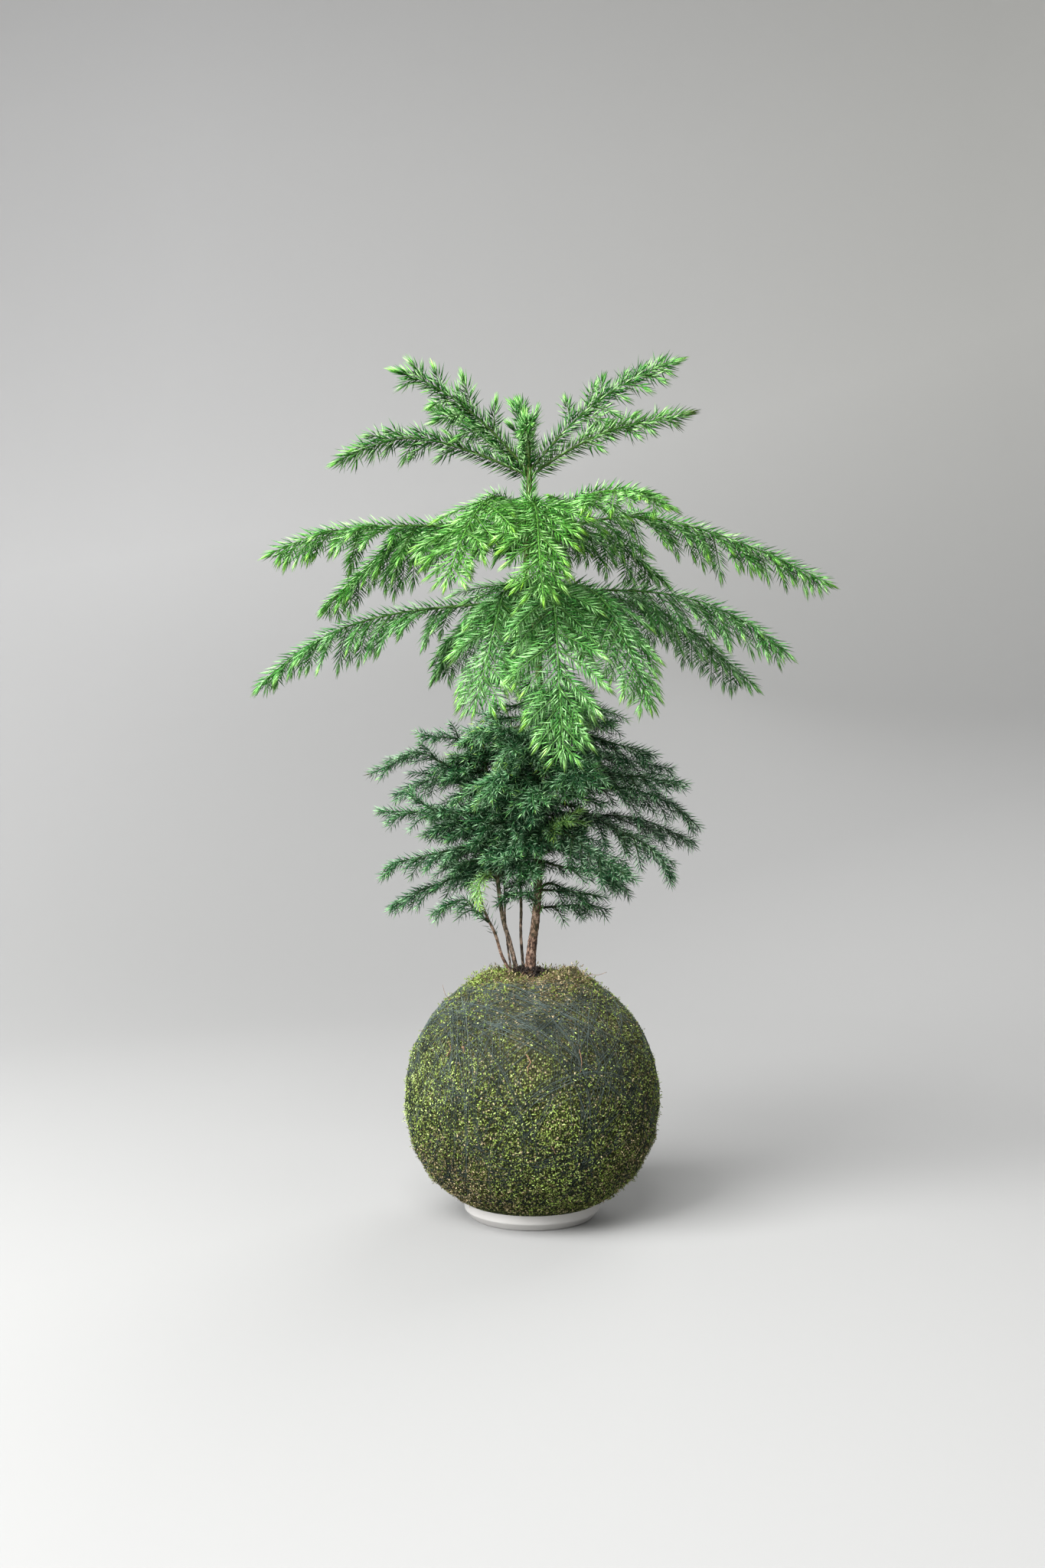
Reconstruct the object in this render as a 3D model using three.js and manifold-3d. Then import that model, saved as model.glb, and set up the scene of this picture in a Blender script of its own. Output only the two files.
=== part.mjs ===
import * as THREE from 'three';
import { mergeVertices } from 'three/addons/utils/BufferGeometryUtils.js';
import Module from 'manifold-3d';

// A young Norfolk Island pine grown as a kokedama: stems in a ball of soil, wrapped in moss, on a dish.
// Millimetres, +Z up. The origin is the centre of the dish's flat underside.

const wasm = await Module();
wasm.setup();

// Fit between pieces that touch
const GAP = 0.3;

// Dish
const DISH = {
  radius: 48, height: 14, footRadius: 43.5, footHeight: 5.5, wall: 4, floor: 4.8, rounding: 0.9, cove: 2,
  sides: 36,
};

// Ball of soil and moss: half an ellipsoid above its waist and a fuller belly below it
const BALL = { radius: 90, waist: 83, crown: 93.2, belly: 81, fullness: 2.25, top: 168, sides: 28 };
const MOSS = {
  thickness: 8, mouth: 30, lip: 166, shoulder: 150, relief: 1.4, chamfer: 5, base: 8, setIn: 12,
};
const SOIL = { crest: 169.5, neck: 160, slack: 0.5, crumble: 8 };
const THREAD = { thickness: 1.3, steps: 26, tilts: [47, 36, 42, 28], turn: 101 };

// Needles, at the angle that they open from their twig at its root and by how much they close towards its tip
const NEEDLE = {
  length: 9, thickness: 0.8, whorl: 1.3, clear: 0.4, lean: 0.42, open: 66, close: 34, uneven: 8,
  cuts: [1, 0.8, 0.6, 0.45],
};

// Main twigs, bare near the stem and pointed at the end
const TWIG = { root: 1.3, end: 0.55, bare: 13, bareShare: 0.22, point: 7 };

// Branchlets, with a knee at a share of their length, opening from the main twig as needles do
const BRANCHLET = { radius: 0.7, knee: 0.62, open: 62, close: 22, uneven: 0.2 };

// How a branchlet is bent clear of what is there: shares of its droop and of its length, tried in turn
const BENT_CLEAR = [
  [1, 1], [0.7, 1], [1.3, 1], [0.4, 1], [1.6, 0.9], [0.1, 0.85], [1, 0.7], [0.3, 0.6], [1, 0.45],
];

const COLOUR = {
  glaze: 0xe9e8e4,
  moss: 0x5d6240,
  soil: 0x2b211a,
  thread: 0x34474a,
  bark: 0x6d4a35,
  thinBark: 0x74705c,
  young: 0x5b9a3c,
  full: 0x3f7a36,
  shaded: 0x33644a,
};

// Stems: the points that each follows up from inside the soil, and its radius at each point
const STEMS = {
  trunk: {
    points: [
      [-2, 0, 134], [-1.6, 0, 170], [0, 0, 190], [2.2, 0, 206], [4.4, 0, 236], [4, 0, 290], [5, 0, 345],
      [4.9, 0, 381], [2.7, 0, 410], [-3.6, 0, 448], [-2.9, 0, 495], [-1.8, 0, 524], [-3, 0, 545],
      [-5, 0, 566],
    ],
    radii: [4.6, 4.3, 3.5, 3.1, 2.8, 2.7, 2.6, 2.5, 2.4, 2.3, 2, 1.7, 1.2, 0.6],
    whorls: [494, 509, 535, 542, 549, 556, 562], sides: 6, bark: 'bark',
  },
  left: {
    points: [
      [-13, -6, 134], [-15.2, -6, 170], [-21.8, -7, 185], [-26, -8, 199], [-32, -10, 212], [-37, -12, 226],
    ],
    radii: [1.2, 1.2, 1.1, 1.1, 1, 0.6], whorls: [219], sides: 5, bark: 'bark',
  },
  thin: {
    points: [
      [-14, 8, 134], [-15.2, 8, 172], [-17.6, 9, 190], [-19, 12, 204], [-20, 18, 235], [-21, 24, 262],
    ],
    radii: [0.8, 0.8, 0.7, 0.7, 0.7, 0.5], whorls: [246, 255], sides: 5, bark: 'thinBark',
  },
  mid: {
    points: [
      [-10, 1, 134], [-11.4, 1, 172], [-15.2, 0, 190], [-20.3, 0, 208], [-23.4, 0, 228], [-27, 0, 262],
      [-30, 0, 300], [-34, 0, 322], [-38, 0, 336],
    ],
    radii: [1.8, 1.7, 1.7, 1.6, 1.5, 1.4, 1.3, 1.1, 0.6], whorls: [326, 331], sides: 6, bark: 'thinBark',
  },
  slim: {
    points: [
      [-6, 10, 134], [-6.5, 10, 174], [-8, 11, 197], [-7.8, 12, 218], [-9.4, 13, 246], [-12, 15, 290],
      [-14, 17, 330], [-15, 18, 350],
    ],
    radii: [1.2, 1.1, 1.1, 1.1, 1, 1, 0.9, 0.5], whorls: [338, 344], sides: 5, bark: 'thinBark',
  },
};

// Tiers of fronds. Branchlets spread sideways from a frond's main twig, turned round it by a roll in
// degrees, and hang by a droop where they leave it and by a further sag at their ends. Each frond is one
// line: the stem and height that it grows from, its compass heading in degrees with 0 to the right and 270
// to the front, how far out and how high its curve bends and ends, its pairs of branchlets and the length of
// the longest.
const TIERS = {
  crown: {
    shade: 'young', droop: 0.1, sag: 0.3, roll: 60,
    fronds: [
      ['trunk', 524, 177, [80, 572], [138, 535], 3, 26],
      ['trunk', 527, 194, [52, 582], [94, 592], 2, 26],
      ['trunk', 528, 7, [50, 592], [107, 609], 3, 28],
      ['trunk', 524, 351, [54, 562], [112, 564], 3, 22],
      ['trunk', 529, 98, [24, 572], [52, 590], 2, 20],
      ['trunk', 526, 140, [50, 566], [96, 586], 2, 24],
      ['trunk', 530, 272, [28, 556], [50, 549], 1, 18],
    ],
  },
  upper: {
    shade: 'young', droop: 0.5, sag: 1, roll: 0,
    fronds: [
      ['trunk', 478, 184, [96, 502], [182, 466], 4, 34],
      ['trunk', 474, 155, [88, 522], [170, 435], 4, 44],
      ['trunk', 484, 245, [72, 532], [125, 431], 3, 44],
      ['trunk', 480, 274, [74, 528], [134, 420], 4, 46],
      ['trunk', 484, 312, [76, 518], [132, 484], 3, 42],
      ['trunk', 478, 358, [92, 506], [213, 446], 5, 34],
      ['trunk', 474, 42, [80, 512], [142, 460], 3, 42],
      ['trunk', 481, 92, [66, 512], [124, 490], 3, 40],
    ],
  },
  middle: {
    shade: 'full', droop: 0.5, sag: 1, roll: 0,
    fronds: [
      ['trunk', 434, 176, [148, 436], [196, 374], 5, 34],
      ['trunk', 436, 252, [78, 470], [116, 352], 3, 50],
      ['trunk', 432, 278, [92, 474], [142, 320], 4, 54],
      ['trunk', 436, 306, [84, 470], [130, 354], 3, 50],
      ['trunk', 438, 352, [128, 460], [182, 394], 5, 36],
      ['trunk', 431, 24, [112, 452], [188, 378], 4, 42],
      ['trunk', 432, 127, [74, 446], [118, 388], 3, 40],
      ['trunk', 435, 58, [80, 452], [150, 415], 3, 40],
      ['trunk', 431, 92, [70, 448], [126, 404], 3, 40],
    ],
  },
  low: {
    shade: 'shaded', droop: 0.25, sag: 0.6, roll: 0,
    fronds: [
      ['mid', 314, 188, [42, 334], [82, 312], 2, 20],
      ['mid', 302, 162, [40, 312], [72, 297], 2, 20],
      ['mid', 286, 210, [40, 282], [64, 300], 2, 20],
      ['mid', 274, 182, [46, 290], [80, 285], 2, 22],
      ['mid', 262, 193, [54, 258], [80, 240], 2, 22],
      ['mid', 238, 172, [52, 236], [78, 214], 2, 22],
      ['left', 208, 198, [24, 226], [42, 214], 1, 18],
      ['mid', 246, 244, [16, 240], [24, 218], 1, 12],
      ['slim', 334, 172, [16, 346], [36, 343], 1, 16],
      ['trunk', 322, 238, [40, 334], [62, 296], 2, 24],
      ['trunk', 302, 268, [34, 318], [68, 288], 2, 28],
      ['thin', 240, 140, [30, 256], [64, 250], 2, 20],
      ['slim', 300, 92, [34, 320], [72, 306], 2, 24],
      ['trunk', 314, 66, [48, 330], [88, 304], 2, 26],
      ['trunk', 330, 294, [42, 342], [72, 300], 2, 26],
    ],
  },
  right: {
    shade: 'shaded', droop: 0.25, sag: 0.6, roll: 0,
    fronds: [
      ['trunk', 340, 340, [48, 346], [86, 324], 2, 22],
      ['trunk', 322, 13, [52, 324], [100, 316], 2, 24],
      ['trunk', 311, 337, [56, 318], [108, 302], 3, 24],
      ['trunk', 302, 357, [64, 314], [114, 274], 3, 26],
      ['trunk', 288, 20, [72, 294], [124, 262], 3, 26],
      ['trunk', 293, 342, [62, 286], [98, 240], 2, 24],
      ['trunk', 276, 318, [46, 284], [88, 240], 2, 24],
      ['trunk', 262, 32, [56, 262], [80, 222], 2, 22],
      ['trunk', 251, 334, [38, 252], [64, 232], 2, 18],
      ['trunk', 230, 350, [26, 231], [49, 225], 1, 16],
      ['trunk', 217, 20, [28, 218], [55, 214], 1, 16],
      ['trunk', 268, 298, [24, 284], [48, 279], 1, 18],
    ],
  },
};

const FRONDS = Object.entries(TIERS).flatMap(([tier, { fronds, ...habit }]) => (
  fronds.map(([stem, at, heading, bend, tip, pairs, branchlet], i) => (
    { name: `frond_${tier}_${i + 1}`, ...habit, stem, at, heading, bend, tip, pairs, branchlet }))));

const UP = new THREE.Vector3(0, 0, 1);
const ACROSS = new THREE.Vector3(1, 0, 0);

// A repeatable draw between 0 and 1, from a seed
function draws(seed) {
  let state = seed;
  return () => {
    state = (state * 16807) % 2147483647;
    return state / 2147483647;
  };
}

// A closed body grown face by face
class Body {
  constructor() {
    this.points = [];
    this.faces = [];
  }

  point(place) {
    this.points.push(place.clone());
    return this.points.length - 1;
  }

  // A spike, or a tapered end, raised from a ring of points
  spike(ring, apex) {
    const tip = this.point(apex);
    ring.forEach((corner, i) => this.faces.push([corner, ring[(i + 1) % ring.length], tip]));
  }

  // The triangles between two rings, for the caller to keep or to raise
  band(lower, upper) {
    return lower.flatMap((corner, i) => {
      const next = (i + 1) % lower.length;
      return [[corner, lower[next], upper[next]], [corner, upper[next], upper[i]]];
    });
  }

  cap(ring) {
    for (let i = 1; i < ring.length - 1; i += 1) this.faces.push([ring[0], ring[i + 1], ring[i]]);
  }

  geometry() {
    const shape = new THREE.BufferGeometry();
    const places = this.points.flatMap((p) => [p.x, p.y, p.z]);
    shape.setAttribute('position', new THREE.Float32BufferAttribute(places, 3));
    shape.setIndex(this.faces.flat());
    return shape;
  }
}

// The two directions across a tangent: to its right, and upwards
function across(tangent, reference) {
  const right = new THREE.Vector3().crossVectors(tangent, reference).normalize();
  return { right, up: new THREE.Vector3().crossVectors(right, tangent) };
}

// A ring of points round a centre, in the order that faces the way the tangent points
function ring(body, centre, tangent, radius, sides, start, reference) {
  const { right, up } = across(tangent, reference);
  return Array.from({ length: sides }, (_, i) => {
    const angle = start - (i * 2 * Math.PI) / sides;
    const place = centre.clone();
    place.addScaledVector(right, radius * Math.cos(angle)).addScaledVector(up, radius * Math.sin(angle));
    return body.point(place);
  });
}

// What has been grown so far, as straight rods with round ends, so that nothing is grown through it
const grown = [];

function distance(a, b, c, d) {
  const u = b.clone().sub(a);
  const v = d.clone().sub(c);
  const w = a.clone().sub(c);
  const uu = u.dot(u);
  const uv = u.dot(v);
  const vv = v.dot(v);
  const uw = u.dot(w);
  const vw = v.dot(w);
  const spread = uu * vv - uv * uv;
  let s = spread > 1e-9 ? THREE.MathUtils.clamp((uv * vw - vv * uw) / spread, 0, 1) : 0;
  let t = (uv * s + vw) / vv;
  t = THREE.MathUtils.clamp(t, 0, 1);
  s = THREE.MathUtils.clamp((uv * t - uw) / uu, 0, 1);
  return w.addScaledVector(u, s).addScaledVector(v, -t).length();
}

// Whether a rod stays clear of all that is grown, apart from the piece that it leaves and its own whorl
function isClear(rod) {
  const middle = rod.from.clone().add(rod.to).multiplyScalar(0.5);
  const half = rod.from.distanceTo(rod.to) / 2;
  return grown.every((other) => {
    if ((rod.whorl && other.whorl === rod.whorl) || other.twig === rod.parent) return true;
    const reach = half + other.half + rod.radius + other.radius + NEEDLE.clear;
    if (middle.distanceTo(other.middle) > reach) return true;
    const from = other.node === rod.node ? rod.from.clone().lerp(rod.to, 0.25) : rod.from;
    const room = rod.radius + other.radius + NEEDLE.clear;
    return distance(from, rod.to, other.from, other.to) > room;
  });
}

function keep(rod) {
  grown.push({
    ...rod,
    middle: rod.from.clone().add(rod.to).multiplyScalar(0.5),
    half: rod.from.distanceTo(rod.to) / 2,
  });
}

// Dish: a shallow round saucer with a chamfered foot
function dish() {
  const { radius, height, footRadius, footHeight, wall, floor, rounding, cove, sides } = DISH;
  const profile = [
    [0, 0], [footRadius, 0], [radius, footHeight], [radius, height - rounding], [radius - rounding, height],
    [radius - wall + rounding, height], [radius - wall, height - rounding], [radius - wall, floor + cove],
    [radius - wall - cove, floor], [0, floor],
  ];
  return lathe(profile, sides);
}

// A profile of radius and height turned about the upright axis
function lathe(profile, sides) {
  const points = profile.map(([x, y]) => new THREE.Vector2(x, y));
  return new THREE.LatheGeometry(points, sides).rotateX(Math.PI / 2);
}

// Radius of the ball at a height, with its surface moved inwards by an inset
function ballRadius(z, inset = 0) {
  const above = z >= BALL.waist;
  const half = (above ? BALL.crown : BALL.belly) - inset;
  const power = above ? 2 : BALL.fullness;
  const share = Math.min(1, Math.abs(z - BALL.waist) / half);
  return (BALL.radius - inset) * (1 - share ** power) ** (1 / power);
}

// The ball's lower end, which sits on the dish's rim and reaches down inside it
const SEAT = {
  rim: DISH.height + GAP,
  inside: DISH.radius - DISH.wall - GAP,
  bottom: DISH.floor + GAP,
};

// Evenly spaced points of the ball's outline between two heights
function outline(from, to, steps, inset) {
  return Array.from({ length: steps + 1 }, (_, i) => {
    const z = from + ((to - from) * i) / steps;
    return [ballRadius(z, inset), z];
  });
}

// Moss: a thick skin round the ball, open at the top, with low soft lumps
function mossGeometry() {
  const { thickness, mouth, lip, shoulder, relief, chamfer, base, setIn } = MOSS;
  const { rim, inside, bottom } = SEAT;
  const low = bottom + thickness;
  const profile = [
    [0, bottom], [inside - chamfer, bottom], [inside, bottom + chamfer], [inside, rim],
    ...outline(rim, shoulder, 8, 0), ...outline(shoulder + 10, BALL.top, 1, 0),
    [mouth + 3, BALL.top + 1], [mouth, lip],
    ...outline(shoulder + 8, low + base, 5, thickness),
    [ballRadius(low + base, thickness) - setIn, low], [0, low],
  ];
  const shape = lathe(profile, BALL.sides);
  const place = shape.attributes.position;
  const point = new THREE.Vector3();
  for (let i = 0; i < place.count; i += 1) {
    point.fromBufferAttribute(place, i);
    const flat = Math.hypot(point.x, point.y);
    const isOutside = flat > ballRadius(point.z, thickness / 2);
    if (isOutside && point.z > rim + 6 && point.z < BALL.top - 1) {
      const angle = Math.atan2(point.y, point.x);
      const lump = Math.sin(5 * angle + point.z / 11) * Math.cos(3 * angle - point.z / 17);
      const shrink = 1 - (relief * (0.5 + 0.5 * lump)) / flat;
      place.setXY(i, point.x * shrink, point.y * shrink);
    }
  }
  return shape;
}

// A geometry as a solid, with its doubled points merged and its empty faces dropped
function solid(geometry) {
  const bare = geometry.clone();
  bare.deleteAttribute('normal');
  bare.deleteAttribute('uv');
  const merged = mergeVertices(bare, 1e-4);
  const corners = merged.index.array;
  const kept = [];
  for (let i = 0; i < corners.length; i += 3) {
    const [a, b, c] = corners.slice(i, i + 3);
    if (a !== b && b !== c && c !== a) kept.push(a, b, c);
  }
  return new wasm.Manifold(new wasm.Mesh({
    numProp: 3,
    vertProperties: new Float32Array(merged.attributes.position.array),
    triVerts: new Uint32Array(kept),
  }));
}

function geometryOf(manifold) {
  const mesh = manifold.getMesh();
  const shape = new THREE.BufferGeometry();
  shape.setAttribute('position', new THREE.Float32BufferAttribute(mesh.vertProperties, 3));
  shape.setIndex(Array.from(mesh.triVerts));
  return shape;
}

// Soil: the core inside the moss, with a low crest in its mouth and a plain hole for each stem
function soilGeometry() {
  const { thickness, mouth, lip, shoulder, base, setIn } = MOSS;
  const { crest, neck, slack, crumble } = SOIL;
  const inset = thickness + GAP;
  const low = SEAT.bottom + inset;
  const throat = mouth - GAP - 1;
  const profile = [
    [0, low], [ballRadius(low + base, inset) - setIn, low],
    ...outline(low + base, shoulder + 8 - GAP, 5, inset).map(([r, z]) => [r - slack, z]),
    [throat, neck], [throat, lip], [throat - crumble, crest - 1], [0, crest],
  ];
  let soil = solid(lathe(profile, BALL.sides));
  for (const { points, radii, sides } of Object.values(STEMS)) {
    const hole = new Body();
    limb(hole, points.slice(0, 3), radii.slice(0, 3).map((r) => r + GAP), sides, GAP);
    soil = soil.subtract(solid(hole.geometry()));
  }
  return geometryOf(soil);
}

// A plain round tube through points, with its foot moved down by a depth
function limb(body, points, radii, sides, depth) {
  const places = points.map((p) => new THREE.Vector3(...p));
  places[0].z -= depth;
  let lower = null;
  places.forEach((place, i) => {
    const before = places[Math.max(i - 1, 0)];
    const after = places[Math.min(i + 1, places.length - 1)];
    const tangent = after.clone().sub(before).normalize();
    const upper = ring(body, place, tangent, radii[i], sides, 0, ACROSS);
    if (lower) body.faces.push(...body.band(lower, upper));
    else body.cap(upper);
    lower = upper;
  });
  body.cap(lower.reverse());
}

// Thread: loops that cross over the moss and bind it, tied together where they cross
function threadGeometry() {
  const { thickness, steps, tilts, turn } = THREAD;
  const chordSag = BALL.radius * (1 - Math.cos(Math.PI / steps));
  const lift = GAP + thickness / 2 + chordSag;
  let net = null;
  tilts.forEach((tilt, index) => {
    const body = new Body();
    const lean = THREE.MathUtils.degToRad(tilt);
    const heading = THREE.MathUtils.degToRad(turn * index);
    const places = Array.from({ length: steps }, (_, i) => {
      const angle = (i * 2 * Math.PI) / steps;
      const rise = Math.sin(angle) * Math.sin(lean);
      const half = rise > 0 ? BALL.crown : BALL.belly;
      const z = BALL.waist + half * rise;
      const flat = ballRadius(z) + lift * Math.sqrt(1 - rise * rise);
      const around = Math.atan2(Math.sin(angle) * Math.cos(lean), Math.cos(angle)) + heading;
      return new THREE.Vector3(flat * Math.cos(around), flat * Math.sin(around), z + rise * lift);
    });
    const rings = places.map((place, i) => {
      const tangent = places[(i + 1) % steps].clone().sub(places[(i + steps - 1) % steps]).normalize();
      return ring(body, place, tangent, thickness / Math.sqrt(3), 3, Math.PI / 2, UP);
    });
    rings.forEach((lower, i) => body.faces.push(...body.band(lower, rings[(i + 1) % steps])));
    const loop = solid(body.geometry());
    net = net ? net.add(loop) : loop;
  });
  return geometryOf(net);
}

// A stem: a tapered tube with short whorls that needles are raised from, and a pointed top
function growStem(name) {
  const { points, radii, whorls, sides } = STEMS[name];
  const body = new Body();
  const places = points.map((p) => new THREE.Vector3(...p));
  const joints = places.slice(0, -1).map((p) => p.z);
  const levels = [...joints, ...whorls, ...whorls.map((z) => z + NEEDLE.whorl)].sort((a, b) => a - b);
  const buds = [];
  let lower = null;
  let last = 0;
  levels.forEach((z) => {
    const { place, tangent, radius } = onStem(name, z);
    const upper = ring(body, place, tangent, radius, sides, 0, ACROSS);
    if (lower) {
      const band = body.band(lower, upper);
      if (whorls.includes(last)) {
        const bud = { body, node: `stem_${name}`, tangent, share: 0.6, lean: 0, whorl: `${name}${z}` };
        band.forEach((face, i) => {
          if (i % 2 === 0) buds.push({ ...bud, face });
          else body.faces.push(face);
        });
      } else body.faces.push(...band);
    } else body.cap(upper);
    lower = upper;
    last = z;
  });
  body.spike(lower, places[places.length - 1]);
  places.slice(1).forEach((to, i) => keep({
    node: `stem_${name}`, twig: name, whorl: `${name}_axis`, from: places[i], to, radius: radii[i],
  }));
  return { body, buds, twig: name };
}

// The middle, direction and radius of a stem at a height
function onStem(name, z) {
  const { points, radii } = STEMS[name];
  const i = Math.max(0, points.findIndex((p, k) => k + 1 < points.length && z <= points[k + 1][2]));
  const from = new THREE.Vector3(...points[i]);
  const to = new THREE.Vector3(...points[i + 1]);
  const share = (z - from.z) / (to.z - from.z);
  const before = new THREE.Vector3(...points[Math.max(0, i - 1)]);
  return {
    place: from.clone().lerp(to, share),
    tangent: to.clone().sub(share < 0.5 && i > 0 ? before : from).normalize(),
    radius: THREE.MathUtils.lerp(radii[i], radii[i + 1], share),
  };
}

// The curve of a frond's main twig, from the bark of its stem to its tip
function frondCurve({ stem, at, heading, bend, tip }) {
  const { place, radius } = onStem(stem, at);
  const angle = THREE.MathUtils.degToRad(heading);
  const out = new THREE.Vector3(Math.cos(angle), Math.sin(angle), 0);
  const spot = ([reach, z]) => place.clone().addScaledVector(out, reach).setZ(z);
  return new THREE.QuadraticBezierCurve3(spot([radius + GAP, at]), spot(bend), spot(tip));
}

// The two needles on one side of a whorl lean apart
function leanOf(i) {
  return i % 2 === 0 ? 1 : -1;
}

// The main twig of a frond: three-sided, with a whorl at each station along it
function growFrond(frond, index) {
  const body = new Body();
  const curve = frondCurve(frond);
  const length = curve.getLength();
  const stations = 2 * frond.pairs + 1;
  const first = Math.min(TWIG.bare, length * TWIG.bareShare);
  const buds = [];
  const seats = [];
  const radiusAt = (s) => THREE.MathUtils.lerp(TWIG.root, TWIG.end, s / length);
  const section = (s, start) => {
    const share = Math.min(1, s / length);
    return ring(body, curve.getPointAt(share), curve.getTangentAt(share), radiusAt(s), 3, start, UP);
  };
  const level = curve.getTangentAt(0).setZ(0).normalize();
  let lower = ring(body, curve.getPointAt(0), level, TWIG.root, 3, -Math.PI / 2, UP);
  body.cap(lower);
  let before = curve.getPointAt(0);
  for (let k = 0; k < stations; k += 1) {
    const s = first + ((length - TWIG.point - first) * k) / (stations - 1);
    const paired = k % 2 === 1;
    const start = -Math.PI / 2 - THREE.MathUtils.degToRad(frond.roll) + (paired ? 0 : Math.PI / 6);
    const near = section(s, start);
    const far = section(s + NEEDLE.whorl, start);
    body.faces.push(...body.band(lower, near));
    const tangent = curve.getTangentAt(s / length);
    body.band(near, far).forEach((face, i) => {
      const bud = {
        body, node: frond.name, parent: frond.name, whorl: `${frond.name}_${k}`,
        face, tangent, share: s / length, lean: leanOf(i),
      };
      const side = i === 1 ? -1 : 1;
      if (paired && (i === 1 || i === 4)) seats.push({ ...bud, side, order: (k - 1) / 2 });
      else buds.push(bud);
    });
    const here = curve.getPointAt(s / length);
    keep({ node: frond.name, twig: frond.name, from: before, to: here, radius: radiusAt(s) });
    before = here;
    lower = far;
  }
  body.spike(lower, curve.getPointAt(1));
  keep({ node: frond.name, twig: frond.name, from: before, to: curve.getPointAt(1), radius: TWIG.end });
  return { frond, body, buds, seats, length, draw: draws(7001 + 37 * index) };
}

// Length of a branchlet by its place on the frond: short at the stem, full in the middle, short at the tip
function branchletLength(frond, share) {
  const rise = Math.min(1, 0.5 + 1.4 * share);
  const fall = 1 - 0.6 * Math.max(0, (share - 0.5) / 0.5) ** 1.5;
  return frond.branchlet * rise * fall;
}

// A pair of branchlets leaves each paired whorl, forwards, outwards and down, bent clear of what is there
function growBranchlet(spray, seat) {
  const { frond, body, buds, draw } = spray;
  const corners = seat.face.map((i) => body.points[i]);
  const centre = corners[0].clone().add(corners[1]).add(corners[2]).divideScalar(3);
  const { right } = across(seat.tangent, UP);
  right.applyAxisAngle(seat.tangent, THREE.MathUtils.degToRad(frond.roll));
  const full = branchletLength(frond, seat.share) * (1 + BRANCHLET.uneven * (draw() - 0.5));
  const open = THREE.MathUtils.degToRad(BRANCHLET.open - BRANCHLET.close * seat.share);
  const name = `${frond.name}_${seat.order}_${seat.side}`;
  const shared = { node: frond.name, twig: name, parent: frond.name, radius: BRANCHLET.radius };
  for (const [bend, reach] of BENT_CLEAR) {
    const heading = seat.tangent.clone().multiplyScalar(Math.cos(open));
    heading.addScaledVector(right, seat.side * Math.sin(open)).addScaledVector(UP, -bend * frond.droop);
    heading.normalize();
    const drooped = heading.clone().addScaledVector(UP, -bend * frond.sag).normalize();
    const length = full * reach;
    const knee = centre.clone().addScaledVector(heading, length * BRANCHLET.knee);
    const tip = knee.clone().addScaledVector(drooped, length * (1 - BRANCHLET.knee));
    const rods = [{ ...shared, from: centre, to: knee }, { ...shared, from: knee, to: tip }];
    if (rods.every(isClear)) {
      rods.forEach(keep);
      const near = ringLike(body, seat.face, knee, heading, BRANCHLET.radius);
      const beyond = knee.clone().addScaledVector(drooped, NEEDLE.whorl);
      const far = ringLike(body, near, beyond, drooped, BRANCHLET.radius);
      body.faces.push(...body.band(seat.face, near));
      const bud = { body, node: frond.name, parent: name, whorl: name, tangent: drooped, share: 0.85 };
      body.band(near, far).forEach((face, i) => buds.push({ ...bud, face, lean: leanOf(i) }));
      body.spike(far, tip);
      return;
    }
  }
  body.faces.push(seat.face);
}

// A ring that carries on from another without a twist
function ringLike(body, previous, centre, tangent, radius) {
  const corners = previous.map((i) => body.points[i]);
  const middle = corners[0].clone().add(corners[1]).add(corners[2]).divideScalar(3);
  const towards = corners[0].clone().sub(middle);
  towards.addScaledVector(tangent, -towards.dot(tangent)).normalize();
  return [0, 1, 2].map((i) => {
    const spoke = towards.clone().applyAxisAngle(tangent, (i * 2 * Math.PI) / 3);
    return body.point(centre.clone().addScaledVector(spoke, radius));
  });
}

// A needle is raised from each small triangle of a whorl, forwards and outwards, where there is room for it
function growNeedle(bud, draw) {
  const { body, face, tangent, share } = bud;
  const [a, b, c] = face.map((i) => body.points[i]);
  const centre = a.clone().add(b).add(c).divideScalar(3);
  const normal = new THREE.Vector3().crossVectors(b.clone().sub(a), c.clone().sub(a)).normalize();
  const outward = normal.addScaledVector(tangent, -normal.dot(tangent)).normalize();
  outward.applyAxisAngle(tangent, bud.lean * NEEDLE.lean);
  const { length: full, thickness, open: widest, close, uneven, cuts } = NEEDLE;
  const open = THREE.MathUtils.degToRad(widest - close * share + uneven * (draw() - 0.5));
  const direction = outward.multiplyScalar(Math.sin(open)).addScaledVector(tangent, Math.cos(open));
  for (const cut of cuts) {
    const tip = centre.clone().addScaledVector(direction, full * cut);
    const rod = { ...bud, from: centre, to: tip, radius: thickness / 2 };
    if (isClear(rod)) {
      keep(rod);
      body.spike(face, tip);
      return;
    }
  }
  body.faces.push(face);
}

function material(colour, roughness) {
  return new THREE.MeshStandardMaterial({ color: COLOUR[colour], roughness, metalness: 0 });
}

function piece(name, geometry, colour, roughness) {
  const mesh = new THREE.Mesh(geometry, material(colour, roughness));
  mesh.name = name;
  return mesh;
}

const stems = Object.keys(STEMS).map(growStem);
const sprays = FRONDS.map(growFrond);
sprays.forEach((spray) => spray.seats.forEach((seat) => growBranchlet(spray, seat)));
[...stems, ...sprays].forEach(({ buds }, index) => {
  const draw = draws(991 + 53 * index);
  buds.forEach((bud) => growNeedle(bud, draw));
});

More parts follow.
